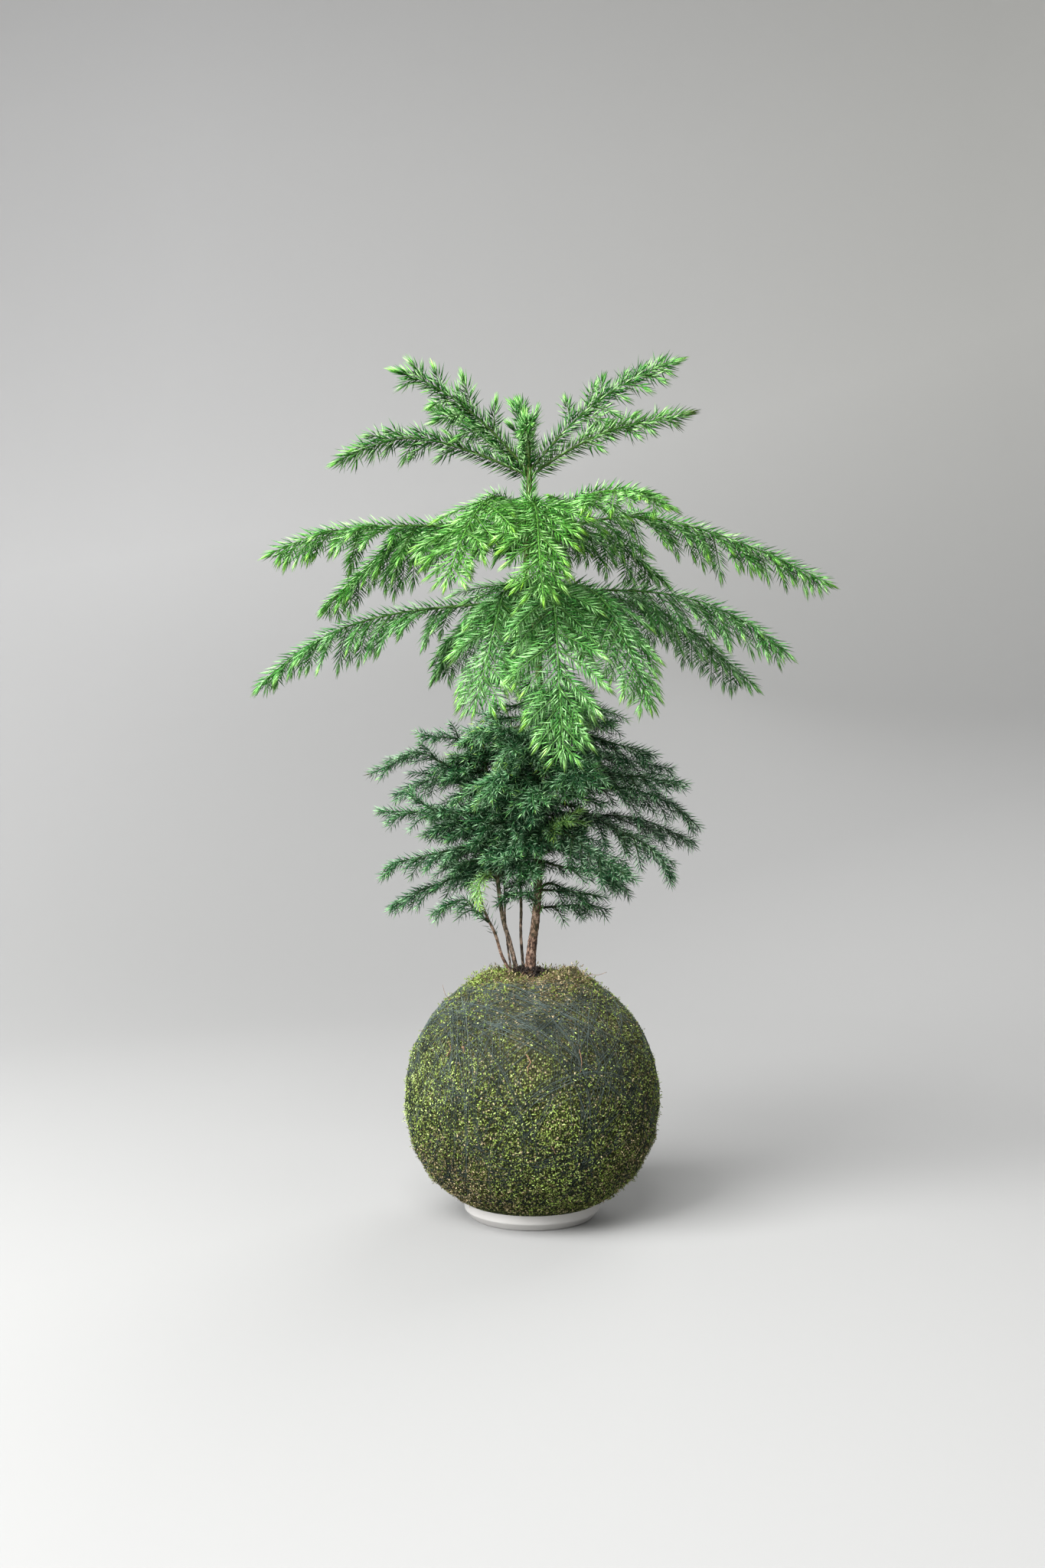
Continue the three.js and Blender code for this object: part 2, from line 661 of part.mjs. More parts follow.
const plant = new THREE.Group();
plant.add(piece('saucer', dish(), 'glaze', 0.55));
plant.add(piece('moss_jacket', mossGeometry(), 'moss', 1));
plant.add(piece('soil_ball', soilGeometry(), 'soil', 1));
plant.add(piece('binding_thread', threadGeometry(), 'thread', 0.8));
stems.forEach(({ body, twig }) => {
  plant.add(piece(`stem_${twig}`, body.geometry(), STEMS[twig].bark, 0.85));
});
sprays.forEach(({ frond, body }) => {
  plant.add(piece(frond.name, body.geometry(), frond.shade, 0.6));
});

export default plant;
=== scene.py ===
import math

import bpy
import numpy as np
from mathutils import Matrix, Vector, noise


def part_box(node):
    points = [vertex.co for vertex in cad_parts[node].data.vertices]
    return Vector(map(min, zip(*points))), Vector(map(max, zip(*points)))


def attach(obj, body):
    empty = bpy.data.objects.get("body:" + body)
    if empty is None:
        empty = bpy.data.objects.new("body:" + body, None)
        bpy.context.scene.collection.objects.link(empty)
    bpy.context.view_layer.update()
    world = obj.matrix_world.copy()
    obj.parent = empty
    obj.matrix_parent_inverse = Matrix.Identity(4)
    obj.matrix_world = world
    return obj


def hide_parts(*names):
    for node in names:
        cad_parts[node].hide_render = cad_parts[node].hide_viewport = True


bl_info = {
    "name": "Kokedama Moss Ball Plant",
    "version": (1, 0, 0),
    "blender": (4, 5, 0),
    "location": "3D Viewport > Sidebar > Kokedama",
    "description": "Dresses a young Norfolk Island pine in its moss ball, needle by needle",
    "category": "Object",
}

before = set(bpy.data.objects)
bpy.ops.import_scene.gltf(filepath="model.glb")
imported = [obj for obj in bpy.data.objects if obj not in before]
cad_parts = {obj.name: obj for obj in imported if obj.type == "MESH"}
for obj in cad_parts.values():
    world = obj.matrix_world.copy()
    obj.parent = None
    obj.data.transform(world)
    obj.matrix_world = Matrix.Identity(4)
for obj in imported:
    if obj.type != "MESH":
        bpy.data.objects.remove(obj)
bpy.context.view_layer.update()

# In metres: a millimetre, and how near to each other points are merged
MM = 0.001
MERGED = 1e-6

UP = np.array([0.0, 0.0, 1.0])

# The turn from one leaf to the next in a spiral
GOLDEN = math.radians(137.508)

# What a needle's material reads: how fresh it is, its own lightness and how much of it is wood or dry
NEEDLE_MARKS = ("fresh", "tone", "woody")

# The camera of the photograph: at the height of the lower branches, looking level along +Y
CAMERA = {"place": (-0.0068, -1.083, 0.305), "turn": (math.radians(90), 0, 0), "lens": 35, "sensor": 36}

# The ball of moss, in millimetres: half an ellipsoid above its waist and a fuller belly below it, then the
# height and the radius of its mouth
BALL = {"radius": 90, "waist": 83, "crown": 93.2, "belly": 81, "fullness": 2.25, "top": 168, "mouth": 30}

# Stems, in millimetres: the points that each follows up from inside the soil, and its radius at each
STEMS = {
    "trunk": {
        "points": [
            (-2, 0, 134), (-1.6, 0, 170), (0, 0, 190), (2.2, 0, 206), (4.4, 0, 236), (4, 0, 290),
            (5, 0, 345), (4.9, 0, 381), (2.7, 0, 410), (-3.6, 0, 448), (-2.9, 0, 495), (-1.8, 0, 524),
            (-3, 0, 545), (-5, 0, 566),
        ],
        "radii": [4.6, 4.3, 3.5, 3.1, 2.8, 2.7, 2.6, 2.5, 2.4, 2.3, 2.2, 2.1, 1.4, 0.6],
    },
    "left": {
        "points": [
            (-13, -6, 134), (-15.2, -6, 170), (-21.8, -7, 185), (-26, -8, 199), (-32, -10, 212),
            (-37, -12, 226),
        ],
        "radii": [1.2, 1.2, 1.1, 1.1, 1, 0.6],
    },
    "thin": {
        "points": [
            (-14, 8, 134), (-15.2, 8, 172), (-17.6, 9, 190), (-19, 12, 204), (-20, 18, 235), (-21, 24, 262),
        ],
        "radii": [0.8, 0.8, 0.7, 0.7, 0.7, 0.5],
    },
    "mid": {
        "points": [
            (-10, 1, 134), (-11.4, 1, 172), (-15.2, 0, 190), (-20.3, 0, 208), (-23.4, 0, 228),
            (-27, 0, 262), (-30, 0, 300), (-34, 0, 322), (-38, 0, 336),
        ],
        "radii": [1.8, 1.7, 1.7, 1.6, 1.5, 1.4, 1.3, 1.1, 0.6],
    },
    "slim": {
        "points": [
            (-6, 10, 134), (-6.5, 10, 174), (-8, 11, 197), (-7.8, 12, 218), (-9.4, 13, 246), (-12, 15, 290),
            (-14, 17, 330), (-15, 18, 350),
        ],
        "radii": [1.2, 1.1, 1.1, 1.1, 1, 1, 0.9, 0.5],
    },
}

# Tiers of fronds, in millimetres and degrees.
# The main twig sways off its curve, and a share of it next to the stem may be bare. Branchlets stand on
# it at a spacing. They open sideways by an angle at its root and one at its tip, are turned round it by a
# roll, hang by a droop and a further sag, tumble up and down at random, and are of uneven length.
# The mane is the needles for each millimetre of main twig and dense those of a branchlet. The splay is
# how wide they open at the root and the end of a twig, flat how far they lie at its sides, and bud how
# long its folded end is and how far that opens. Fresh and tip are how fresh the growth is at the stem and
# at the tip, and front is painted light: how much fresher, and so lighter, fronds are made that grow to
# the front, towards the lamps.
# Each frond is one line: the stem and height that it grows from, its heading with 0 to the right and 270 to
# the front, how far out and how high its curve bends and ends, and the full length of a branchlet.
TIERS = {
    "crown": {
        "finish": "young_needles", "droop": 0, "sag": 0.55, "roll": 60, "spacing": 14, "needle": 12,
        "mane": 2.4, "dense": 1.6, "open": (50, 36), "uneven": (0.4, 1.15), "fresh": 0.06, "tip": 0.8,
        "bare": 0.36, "splay": (62, 42), "flat": 0.2, "sway": 1.5, "bud": (9, 8),
        "fronds": [
            ("trunk", 524, 177, (80, 572), (138, 535), 26),
            ("trunk", 527, 194, (52, 582), (94, 592), 26),
            ("trunk", 528, 7, (50, 592), (107, 609), 28),
            ("trunk", 524, 351, (54, 562), (112, 564), 22),
            ("trunk", 529, 98, (24, 572), (52, 590), 20),
            ("trunk", 526, 140, (50, 566), (96, 586), 24),
            ("trunk", 530, 272, (28, 556), (50, 549), 18),
        ],
    },
    "upper": {
        "finish": "young_needles", "droop": 0.6, "sag": 1, "roll": 0, "spacing": 9.4, "needle": 11.2,
        "mane": 1.7, "dense": 1.45, "open": (62, 44), "uneven": (0.75, 1.1), "fresh": 0.26, "tip": 0.88,
        "front": 0.2, "splay": (58, 44), "flat": 0.72, "sway": 2, "bud": (8, 5), "tumble": 0.3,
        "fronds": [
            ("trunk", 478, 184, (96, 502), (182, 466), 42),
            ("trunk", 474, 155, (88, 522), (170, 435), 44),
            ("trunk", 484, 245, (72, 532), (125, 431), 44),
            ("trunk", 480, 274, (74, 528), (134, 420), 46),
            ("trunk", 484, 312, (76, 518), (132, 484), 42),
            ("trunk", 478, 358, (92, 506), (213, 446), 40),
            ("trunk", 474, 42, (80, 512), (142, 460), 42),
            ("trunk", 481, 92, (66, 512), (124, 490), 40),
        ],
    },
    "middle": {
        "finish": "full_needles", "droop": 0.6, "sag": 1, "roll": 0, "spacing": 9.8, "needle": 11.2,
        "mane": 1.6, "dense": 1.4, "open": (62, 46), "uneven": (0.75, 1.1), "fresh": 0.26, "tip": 0.86,
        "front": 0.16, "splay": (58, 44), "flat": 0.76, "sway": 2, "bud": (8, 5), "tumble": 0.22,
        "fronds": [
            ("trunk", 434, 176, (148, 436), (196, 374), 42),
            ("trunk", 436, 252, (78, 470), (116, 352), 50),
            ("trunk", 432, 278, (92, 474), (142, 320), 50),
            ("trunk", 436, 306, (84, 470), (130, 354), 50),
            ("trunk", 438, 352, (128, 460), (182, 394), 42),
            ("trunk", 431, 24, (112, 452), (188, 378), 42),
            ("trunk", 432, 127, (74, 446), (118, 388), 40),
            ("trunk", 435, 58, (80, 452), (150, 415), 40),
            ("trunk", 431, 92, (70, 448), (126, 404), 40),
        ],
    },
    "low": {
        "finish": "shaded_needles", "droop": 0.25, "sag": 0.6, "roll": 12, "spacing": 8.5, "needle": 7.6,
        "mane": 2.5, "dense": 1.9, "open": (58, 38), "uneven": (0.6, 1.5), "fresh": 0.27, "tip": 0.78,
        "front": 0.1, "splay": (62, 50), "flat": 0.4, "sway": 3.2, "bud": (3, 32), "tumble": 0.22,
        "fronds": [
            ("mid", 314, 188, (42, 334), (82, 312), 20),
            ("mid", 302, 162, (40, 312), (72, 297), 20),
            ("mid", 286, 210, (40, 282), (64, 300), 20),
            ("mid", 274, 182, (46, 290), (80, 285), 22),
            ("mid", 262, 193, (54, 258), (80, 240), 22),
            ("mid", 238, 172, (52, 236), (78, 214), 22),
            ("left", 208, 198, (24, 226), (42, 214), 18),
            ("mid", 246, 244, (16, 240), (24, 218), 12),
            ("slim", 334, 172, (16, 346), (36, 343), 16),
            ("trunk", 322, 238, (40, 334), (62, 296), 24),
            ("trunk", 302, 268, (34, 318), (68, 288), 28),
            ("thin", 240, 140, (30, 256), (64, 250), 20),
            ("slim", 300, 92, (34, 320), (72, 306), 24),
            ("trunk", 314, 66, (48, 330), (88, 304), 26),
            ("trunk", 330, 294, (42, 342), (72, 300), 26),
        ],
    },
    # Painted shade: the right tier's low fresh and tip make its needles darker, on the side away from the
    # lamps
    "right": {
        "finish": "shaded_needles", "droop": 0.35, "sag": 0.7, "roll": 12, "spacing": 8.5, "needle": 7.6,
        "mane": 2.7, "dense": 2.2, "open": (58, 38), "uneven": (0.6, 1.5), "fresh": 0.10, "tip": 0.5,
        "front": 0.1, "splay": (62, 50), "flat": 0.4, "sway": 3.2, "bud": (3, 32), "tumble": 0.22,
        "fronds": [
            ("trunk", 340, 340, (48, 346), (86, 324), 22),
            ("trunk", 322, 13, (52, 324), (100, 316), 24),
            ("trunk", 311, 337, (56, 318), (108, 302), 24),
            ("trunk", 302, 357, (64, 314), (114, 274), 26),
            ("trunk", 288, 20, (72, 294), (124, 262), 26),
            ("trunk", 293, 342, (62, 286), (98, 240), 24),
            ("trunk", 276, 318, (46, 284), (88, 240), 24),
            ("trunk", 262, 32, (56, 262), (80, 222), 22),
            ("trunk", 251, 334, (38, 252), (64, 232), 18),
            ("trunk", 230, 350, (26, 231), (49, 225), 16),
            ("trunk", 217, 20, (28, 218), (55, 214), 16),
            ("trunk", 268, 298, (24, 284), (48, 279), 18),
        ],
    },
}

# Short sprigs inside the low tiers, in millimetres and degrees: by stem, the heights between which they
# grow, how many, the headings and the lengths between which they lie, and how fresh they are
SPRIGS = {
    "trunk": [
        (258, 300, 17, (190, 350), (34, 60), 0.16), (300, 372, 24, (185, 355), (38, 68), 0.36),
        (250, 352, 26, (15, 175), (34, 66), 0.0), (216, 258, 7, (180, 380), (20, 38), 0.2),
    ],
    "mid": [(238, 332, 28, (150, 345), (22, 50), 0.24), (240, 320, 14, (20, 150), (24, 46), 0.0)],
    "slim": [(240, 346, 21, (0, 360), (22, 48), 0.08)],
    "thin": [(222, 258, 8, (90, 350), (16, 34), 0.15)],
}

# How a sprig grows: as a tier does, with how far over its root it bends and ends, the full length of a
# branchlet as a share of the sprig's, and the steps that it is drawn with
SPRIG = {
    "droop": 0.2, "sag": 0.5, "roll": 15, "spacing": 8.5, "needle": 7.4, "mane": 2.2, "dense": 1.8,
    "open": (58, 40), "uneven": (0.5, 1.3), "branchlet": 0.42, "splay": (64, 50), "flat": 0.3, "sway": 2,
    "bud": (3, 32), "tumble": 0.3, "bend": (2, 13), "end": (-18, 12), "steps": 12,
}

# Shoots of this year's growth among the old ones, and tips that have dried
BRIGHT_SHOOTS = ("frond_low_8", "frond_right_12")
DRY_TIPS = ("frond_crown_4", "frond_low_1")


# Shared helpers

def deselect():
    """Leaves edit mode and selects nothing."""
    if bpy.context.mode != "OBJECT":
        bpy.ops.object.mode_set(mode="OBJECT")
    bpy.ops.object.select_all(action="DESELECT")


def modelled(kind, **options):
    """A primitive added with nothing else selected, as the active object."""
    deselect()
    getattr(bpy.ops.mesh, f"primitive_{kind}_add")(**options)
    return bpy.context.object


def activate(piece):
    """Makes a piece the active and only selected object."""
    deselect()
    bpy.context.view_layer.objects.active = piece
    piece.select_set(True)


def edit(piece, select="SELECT"):
    """Edit mode with all of a piece selected, or none of it."""
    activate(piece)
    bpy.ops.object.mode_set(mode="EDIT")
    bpy.ops.mesh.select_all(action=select)


def pick(piece, wanted):
    """Edit mode with only the vertices selected that a test of their place asks for."""
    edit(piece, "DESELECT")
    bpy.ops.mesh.select_mode(type="VERT")
    bpy.ops.object.mode_set(mode="OBJECT")
    for vertex in piece.data.vertices:
        vertex.select = wanted(vertex.co)
    bpy.ops.object.mode_set(mode="EDIT")


def shaped(piece, angle=40):
    """Leaves edit mode with doubles merged, the normals outwards and soft edges shaded smooth."""
    bpy.ops.mesh.select_all(action="SELECT")
    bpy.ops.mesh.remove_doubles(threshold=MERGED)
    bpy.ops.mesh.normals_make_consistent(inside=False)
    bpy.ops.object.mode_set(mode="OBJECT")
    bpy.ops.object.shade_smooth_by_angle(angle=math.radians(angle))
    return piece


def turned(profile, steps):
    """A profile of radius and height, in metres, spun round the upright axis."""
    piece = modelled("plane", size=1)
    edit(piece)
    bpy.ops.mesh.delete(type="VERT")
    bpy.ops.object.mode_set(mode="OBJECT")
    edges = [(i, i + 1) for i in range(len(profile) - 1)]
    piece.data.from_pydata([(radius, 0, height) for radius, height in profile], edges, [])
    edit(piece)
    bpy.ops.mesh.spin(steps=steps, angle=math.tau, center=(0, 0, 0), axis=(0, 0, 1), use_auto_merge=False)
    return shaped(piece)


def settle(piece, name, slot, material, *nodes):
    """Names a finished piece, gives it its material and ties it to the frame."""
    piece.name = piece.data.name = name
    piece.data.materials.clear()
    piece.data.materials.append(material)
    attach(piece, "root")
    if nodes:
        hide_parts(*nodes)
    deselect()


def apply_modifier(piece, modifier):
    """Makes what a modifier does part of the mesh."""
    activate(piece)
    bpy.ops.object.modifier_apply(modifier=modifier.name)


def unit(vectors):
    """Vectors in a row or a table, each made a unit long."""
    return vectors / np.linalg.norm(vectors, axis=-1, keepdims=True)


def crossed(one, other):
    """Unit vectors square to two others."""
    return unit(np.cross(one, other))


class Gathering:
    """Copies of small shapes, gathered into one mesh with the marks that its material reads."""

    def __init__(self):
        self.places, self.faces, self.marks, self.count = [], [], [], 0

    def add(self, places, faces, marks):
        self.places.append(places)
        self.faces.append(faces + self.count)
        self.marks.append(marks)
        self.count += len(places)

    def stamp(self, shape, places, along, lean, scale, marks):
        """Sets a copy of a shape at each place, its Z along one direction and its X leaning to another."""
        points, faces = shape
        along = unit(along)
        side = unit(lean - along * np.sum(lean * along, axis=1, keepdims=True))
        back = np.cross(along, side)
        frames = np.stack([side, back, along], axis=1) * scale[:, None, None]
        copies = np.einsum("pk,nkj->npj", points, frames) + places[:, None, :]
        offsets = np.arange(len(places))[:, None, None] * len(points)
        faces = (faces[None] + offsets).reshape(-1, 3)
        self.add(copies.reshape(-1, 3), faces, np.repeat(marks, len(points), axis=0))

    def piece(self, names, smooth=True):
        """The gathered mesh as an object, in metres from millimetres."""
        places = np.concatenate(self.places).astype(np.float32) * MM
        faces = np.concatenate(self.faces).astype(np.int32)
        marks = np.concatenate(self.marks).astype(np.float32)
        mesh = bpy.data.meshes.new("gathered")
        mesh.vertices.add(len(places))
        mesh.vertices.foreach_set("co", places.ravel())
        mesh.loops.add(faces.size)
        mesh.loops.foreach_set("vertex_index", faces.ravel())
        mesh.polygons.add(len(faces))
        mesh.polygons.foreach_set("loop_start", np.arange(0, faces.size, 3, dtype=np.int32))
        mesh.polygons.foreach_set("use_smooth", np.full(len(faces), smooth))
        mesh.update(calc_edges=True)
        for column, name in enumerate(names):
            mark = mesh.attributes.new(name, "FLOAT", "POINT")
            mark.data.foreach_set("value", np.ascontiguousarray(marks[:, column]))
        piece = bpy.data.objects.new("gathered", mesh)
        bpy.context.scene.collection.objects.link(piece)
        return piece


def shape_of(piece):
    """The points and triangles of a modelled shape, which is then removed."""
    mesh = piece.data
    mesh.calc_loop_triangles()
    points = np.array([vertex.co for vertex in mesh.vertices])
    faces = np.array([triangle.vertices for triangle in mesh.loop_triangles])
    bpy.data.objects.remove(piece)
    bpy.data.meshes.remove(mesh)
    return points, faces


def tube(line, radii, sides, upright):
    """A closed tube along a line of points, in the units of the line."""
    tangents = unit(np.gradient(line, axis=0))
    right = crossed(tangents, np.broadcast_to(upright, tangents.shape))
    up = np.cross(right, tangents)
    angles = np.arange(sides) * math.tau / sides
    spokes = right[:, None] * np.cos(angles)[None, :, None] + up[:, None] * np.sin(angles)[None, :, None]
    rings = line[:, None] + spokes * radii[:, None, None]
    points = np.concatenate([rings.reshape(-1, 3), line[:1], line[-1:]])
    faces = []
    for k in range(len(line) - 1):
        for i in range(sides):
            a, b = k * sides + i, k * sides + (i + 1) % sides
            faces += [(a, b + sides, b), (a, a + sides, b + sides)]
    first, last = len(points) - 2, len(points) - 1
    end = (len(line) - 1) * sides
    for i in range(sides):
        faces += [(first, i, (i + 1) % sides), (last, end + (i + 1) % sides, end + i)]
    return points, np.array(faces)


# Materials

class Shader:
    """A node material under construction: nodes are added and linked by short calls."""

    def __init__(self, name, roughness):
        self.material = bpy.data.materials.new(name)
        self.material.use_nodes = True
        self.tree = self.material.node_tree
        self.surface = self.tree.nodes["Principled BSDF"]
        self.surface.inputs["Roughness"].default_value = roughness

    def node(self, kind, inputs=None, **settings):
        made = self.tree.nodes.new(f"ShaderNode{kind}")
        for key, value in settings.items():
            setattr(made, key, value)
        for key, value in (inputs or {}).items():
            if isinstance(value, bpy.types.NodeSocket):
                self.tree.links.new(value, made.inputs[key])
            else:
                made.inputs[key].default_value = value
        return made

    def mark(self, name):
        return self.node("Attribute", attribute_name=name).outputs["Fac"]

    def object_coordinates(self):
        return self.node("TexCoord").outputs["Object"]

    def along_axis(self, axis):
        return self.node("SeparateXYZ", {0: self.object_coordinates()}).outputs[axis]

    def noise(self, scale, detail=3, stretch=None):
        where = self.object_coordinates()
        if stretch:
            where = self.node("Mapping", {"Vector": where, "Scale": stretch}).outputs["Vector"]
        return self.node("TexNoise", {"Vector": where, "Scale": scale, "Detail": detail}).outputs["Fac"]

    def ramp(self, factor, stops):
        made = self.node("ValToRGB", {"Fac": factor})
        elements = made.color_ramp.elements
        while len(elements) < len(stops):
            elements.new(0.5)
        for element, (position, colour) in zip(elements, stops):
            element.position = position
            element.color = (*colour, 1)
        return made.outputs["Color"]

    def mix(self, factor, one, other):
        made = self.node("Mix", data_type="RGBA")
        for key, value in ((0, factor), (6, one), (7, other)):
            if isinstance(value, bpy.types.NodeSocket):
                self.tree.links.new(value, made.inputs[key])
            else:
                made.inputs[key].default_value = value if key == 0 else (*value, 1)
        return made.outputs[2]

    def sum(self, one, other):
        return self.node("Math", {0: one, 1: other}).outputs[0]

    def scaled(self, value, low, high, start=0.0, end=1.0):
        """A value that runs from low to high while another runs from start to end."""
        return self.node("MapRange", {0: value, 1: start, 2: end, 3: low, 4: high}).outputs[0]

    def bump(self, height, distance, strength=1.0):
        made = self.node("Bump", {"Height": height, "Distance": distance, "Strength": strength})
        self.tree.links.new(made.outputs["Normal"], self.surface.inputs["Normal"])

    def dull(self, specular):
        self.surface.inputs["Specular IOR Level"].default_value = specular

    def into(self, socket, value):
        self.tree.links.new(value, self.surface.inputs[socket])


FINISHES = {}


def finish(name, make, *values):
    """A material by its name, made the first time that it is asked for."""
    if name not in FINISHES:
        FINISHES[name] = make(name, *values)
    return FINISHES[name]


def needle_material(name, colours):
    """Needles: dark where old, bright at the tips, brown on the twig, each a little different, with
    painted shade on some single needles and a painted sheen on others.
    """
    shader = Shader(name, 0.45)
    green = shader.ramp(shader.mark("fresh"), [
        (0.0, colours.old), (0.45, colours.grown), (0.75, colours.light), (1.0, colours.bud),
    ])
    patchy = shader.noise(55, 2)
    deeper = shader.mix(shader.scaled(patchy, 0.0, 0.45, 0.4, 0.7), green, colours.bloom)
    green = shader.mix(shader.scaled(shader.mark("fresh"), 0.0, 1.0, 0.5, 0.8), deeper, green)
    tone = shader.mark("tone")
    # Painted shade: some single needles are darkened towards the old colour
    painted_shade = shader.mix(shader.scaled(tone, 0.78, 0.0, 0.0, 0.5), green, colours.old)
    # Painted sheen: other single needles are paled towards the pale colour, as highlights
    varied = shader.mix(shader.scaled(tone, 0.0, 0.68, 0.5, 1.0), painted_shade, colours.pale)
    wood = shader.ramp(shader.noise(900, 2), [(0.3, colours.twig), (0.7, colours.old)])
    shader.into("Base Color", shader.mix(shader.mark("woody"), varied, wood))
    shader.into("Roughness", shader.scaled(shader.noise(400, 2), 0.42, 0.65))
    shader.bump(shader.noise(2500, 2), 0.00004, 0.5)
    shader.dull(0.09)
    return shader.material


# Settings

def colour(name, description, default):
    return bpy.props.FloatVectorProperty(
        name=name, description=description, subtype="COLOR", size=3, min=0, max=1, default=default)


def distance(name, description, millimetres):
    return bpy.props.FloatProperty(
        name=name, description=description, unit="LENGTH", subtype="DISTANCE", min=0, precision=5,
        default=millimetres * MM)


def power(name, description, watts):
    return bpy.props.FloatProperty(
        name=name, description=description, unit="POWER", min=0, default=watts)


def number(name, description, default):
    return bpy.props.IntProperty(name=name, description=description, min=0, default=default)


class StageSettings(bpy.types.PropertyGroup):
    floor: colour("Floor", "Colour of the floor", (0.29, 0.29, 0.287))
    # The wall's colours are painted light and shade: lightest behind the plant, darker near the key light
    # and at the right
    wall: colour("Wall", "Colour of the wall behind the plant", (0.60, 0.60, 0.60))
    wall_shade_near_key: colour("Side wall", "Colour of the wall near the key light", (0.24, 0.24, 0.238))
    wall_shade: colour("Shaded wall", "Colour of the wall at the right", (0.44, 0.44, 0.425))
    key: power("Key light", "Power of the large light at the left", 101)
    top: power("Top light", "Power of the light above the camera", 28)
    fill: power("Fill light", "Power of the weak light at the right", 3)
    back: power("Back light", "Power of the light behind the plant", 14)
    sky: bpy.props.FloatProperty(
        name="Sky", description="Strength of the even light from all round", min=0, default=0.24)


class SaucerSettings(bpy.types.PropertyGroup):
    glaze: colour("Glaze", "Colour of the white glaze", (0.44, 0.43, 0.415))
    rolled: distance("Rolled edge", "Radius of the rounding of the rim", 0.6)


class MossSettings(bpy.types.PropertyGroup):
    lime: colour("Lime", "Freshest moss leaves", (0.46, 0.56, 0.21))
    green: colour("Green", "Living moss", (0.19, 0.28, 0.052))
    olive: colour("Olive", "Shaded moss", (0.115, 0.125, 0.038))
    tan: colour("Tan", "Dry moss", (0.50, 0.42, 0.24))
    brown: colour("Brown", "Dead moss", (0.065, 0.042, 0.020))
    bed: colour("Bed", "Dark damp moss under the thread", (0.016, 0.020, 0.007))
    # The dry bed colour also paints light on the top of the ball
    dry: colour("Dry bed", "Dry moss under the thread at the top of the ball", (0.11, 0.10, 0.065))
    twigs: colour("Twigs", "Dry scraps of twig and root on the moss", (0.26, 0.15, 0.085))
    leaves: number("Leaves", "Half the number of moss leaves on the ball", 27500)
    leaf: distance("Leaf length", "Usual length of a moss leaf", 1.75)
    tufts: number("Tufts", "Number of shoots that stand out of the moss", 1400)


class SoilSettings(bpy.types.PropertyGroup):
    dark: colour("Dark soil", "Colour of the soil in the gaps", (0.006, 0.005, 0.004))
    damp: colour("Damp soil", "Colour of most of the soil", (0.022, 0.016, 0.013))
    pale: colour("Pale soil", "Colour of the driest grains", (0.09, 0.07, 0.055))
    crumbs: number("Crumbs", "Number of crumbs between the stems", 750)


class ThreadSettings(bpy.types.PropertyGroup):
    teal: colour("Thread", "Colour of the binding thread", (0.020, 0.028, 0.024))
    # The worn colour also paints light on the thread towards the top of the ball
    worn_and_lit: colour("Worn thread", "Colour where the thread has faded", (0.098, 0.126, 0.116))
    thickness: distance("Thickness", "Diameter of the thread", 0.3)
    windings: number("Windings", "Fewest turns of thread round the ball", 290)


class BarkSettings(bpy.types.PropertyGroup):
    red: colour("Red bark", "Bark low on the trunk", (0.115, 0.066, 0.045))
    flake: colour("Flakes", "Loose flakes of bark", (0.29, 0.205, 0.155))
    dark: colour("Dark bark", "Cracks in the bark", (0.022, 0.015, 0.012))
    grey: colour("Grey bark", "Bark of the thin stems", (0.080, 0.066, 0.046))
    green: colour("Green bark", "Young bark towards the top", (0.075, 0.11, 0.030))


class YoungNeedles(bpy.types.PropertyGroup):
    old: colour("Old", "Needles near the stem", (0.009, 0.058, 0.005))
    grown: colour("Grown", "Needles along the branchlets", (0.048, 0.24, 0.022))
    light: colour("Light", "Needles towards the ends", (0.22, 0.58, 0.10))
    bud: colour("Bud", "Needles folded round the buds", (0.36, 0.72, 0.055))
    bloom: colour("Bloom", "Bluish patches", (0.018, 0.12, 0.035))
    # Pale is a painted sheen on single needles
    pale: colour("Pale", "Lightest single needles", (0.46, 0.78, 0.32))
    twig: colour("Twig", "Skin of the twigs", (0.10, 0.12, 0.035))


class FullNeedles(bpy.types.PropertyGroup):
    old: colour("Old", "Needles near the stem", (0.008, 0.052, 0.007))
    grown: colour("Grown", "Needles along the branchlets", (0.062, 0.26, 0.042))
    light: colour("Light", "Needles towards the ends", (0.27, 0.62, 0.17))
    bud: colour("Bud", "Needles folded round the buds", (0.36, 0.72, 0.055))
    bloom: colour("Bloom", "Bluish patches", (0.018, 0.11, 0.040))
    # Pale is a painted sheen on single needles
    pale: colour("Pale", "Lightest single needles", (0.42, 0.68, 0.34))
    twig: colour("Twig", "Skin of the twigs", (0.10, 0.12, 0.035))


class ShadedNeedles(bpy.types.PropertyGroup):
    old: colour("Old", "Needles near the stem", (0.0015, 0.013, 0.003))
    grown: colour("Grown", "Needles along the branchlets", (0.025, 0.135, 0.038))
    light: colour("Light", "Needles towards the ends", (0.20, 0.50, 0.16))
    bud: colour("Bud", "Needles folded round the buds", (0.42, 0.66, 0.08))
    bloom: colour("Bloom", "Bluish patches", (0.018, 0.095, 0.050))
    # Pale is a painted sheen on single needles
    pale: colour("Pale", "Lightest single needles", (0.44, 0.68, 0.42))
    twig: colour("Twig", "Skin of the twigs", (0.06, 0.050, 0.026))


class NeedleSettings(bpy.types.PropertyGroup):
    density: bpy.props.FloatProperty(
        name="Fullness", description="Number of needles, as a multiple of the usual one", min=0, default=1)
    width: bpy.props.FloatProperty(
        name="Width", description="Width of a needle as a share of its length", min=0, max=1, default=0.094)
    young: bpy.props.PointerProperty(type=YoungNeedles)
    full: bpy.props.PointerProperty(type=FullNeedles)
    shaded: bpy.props.PointerProperty(type=ShadedNeedles)


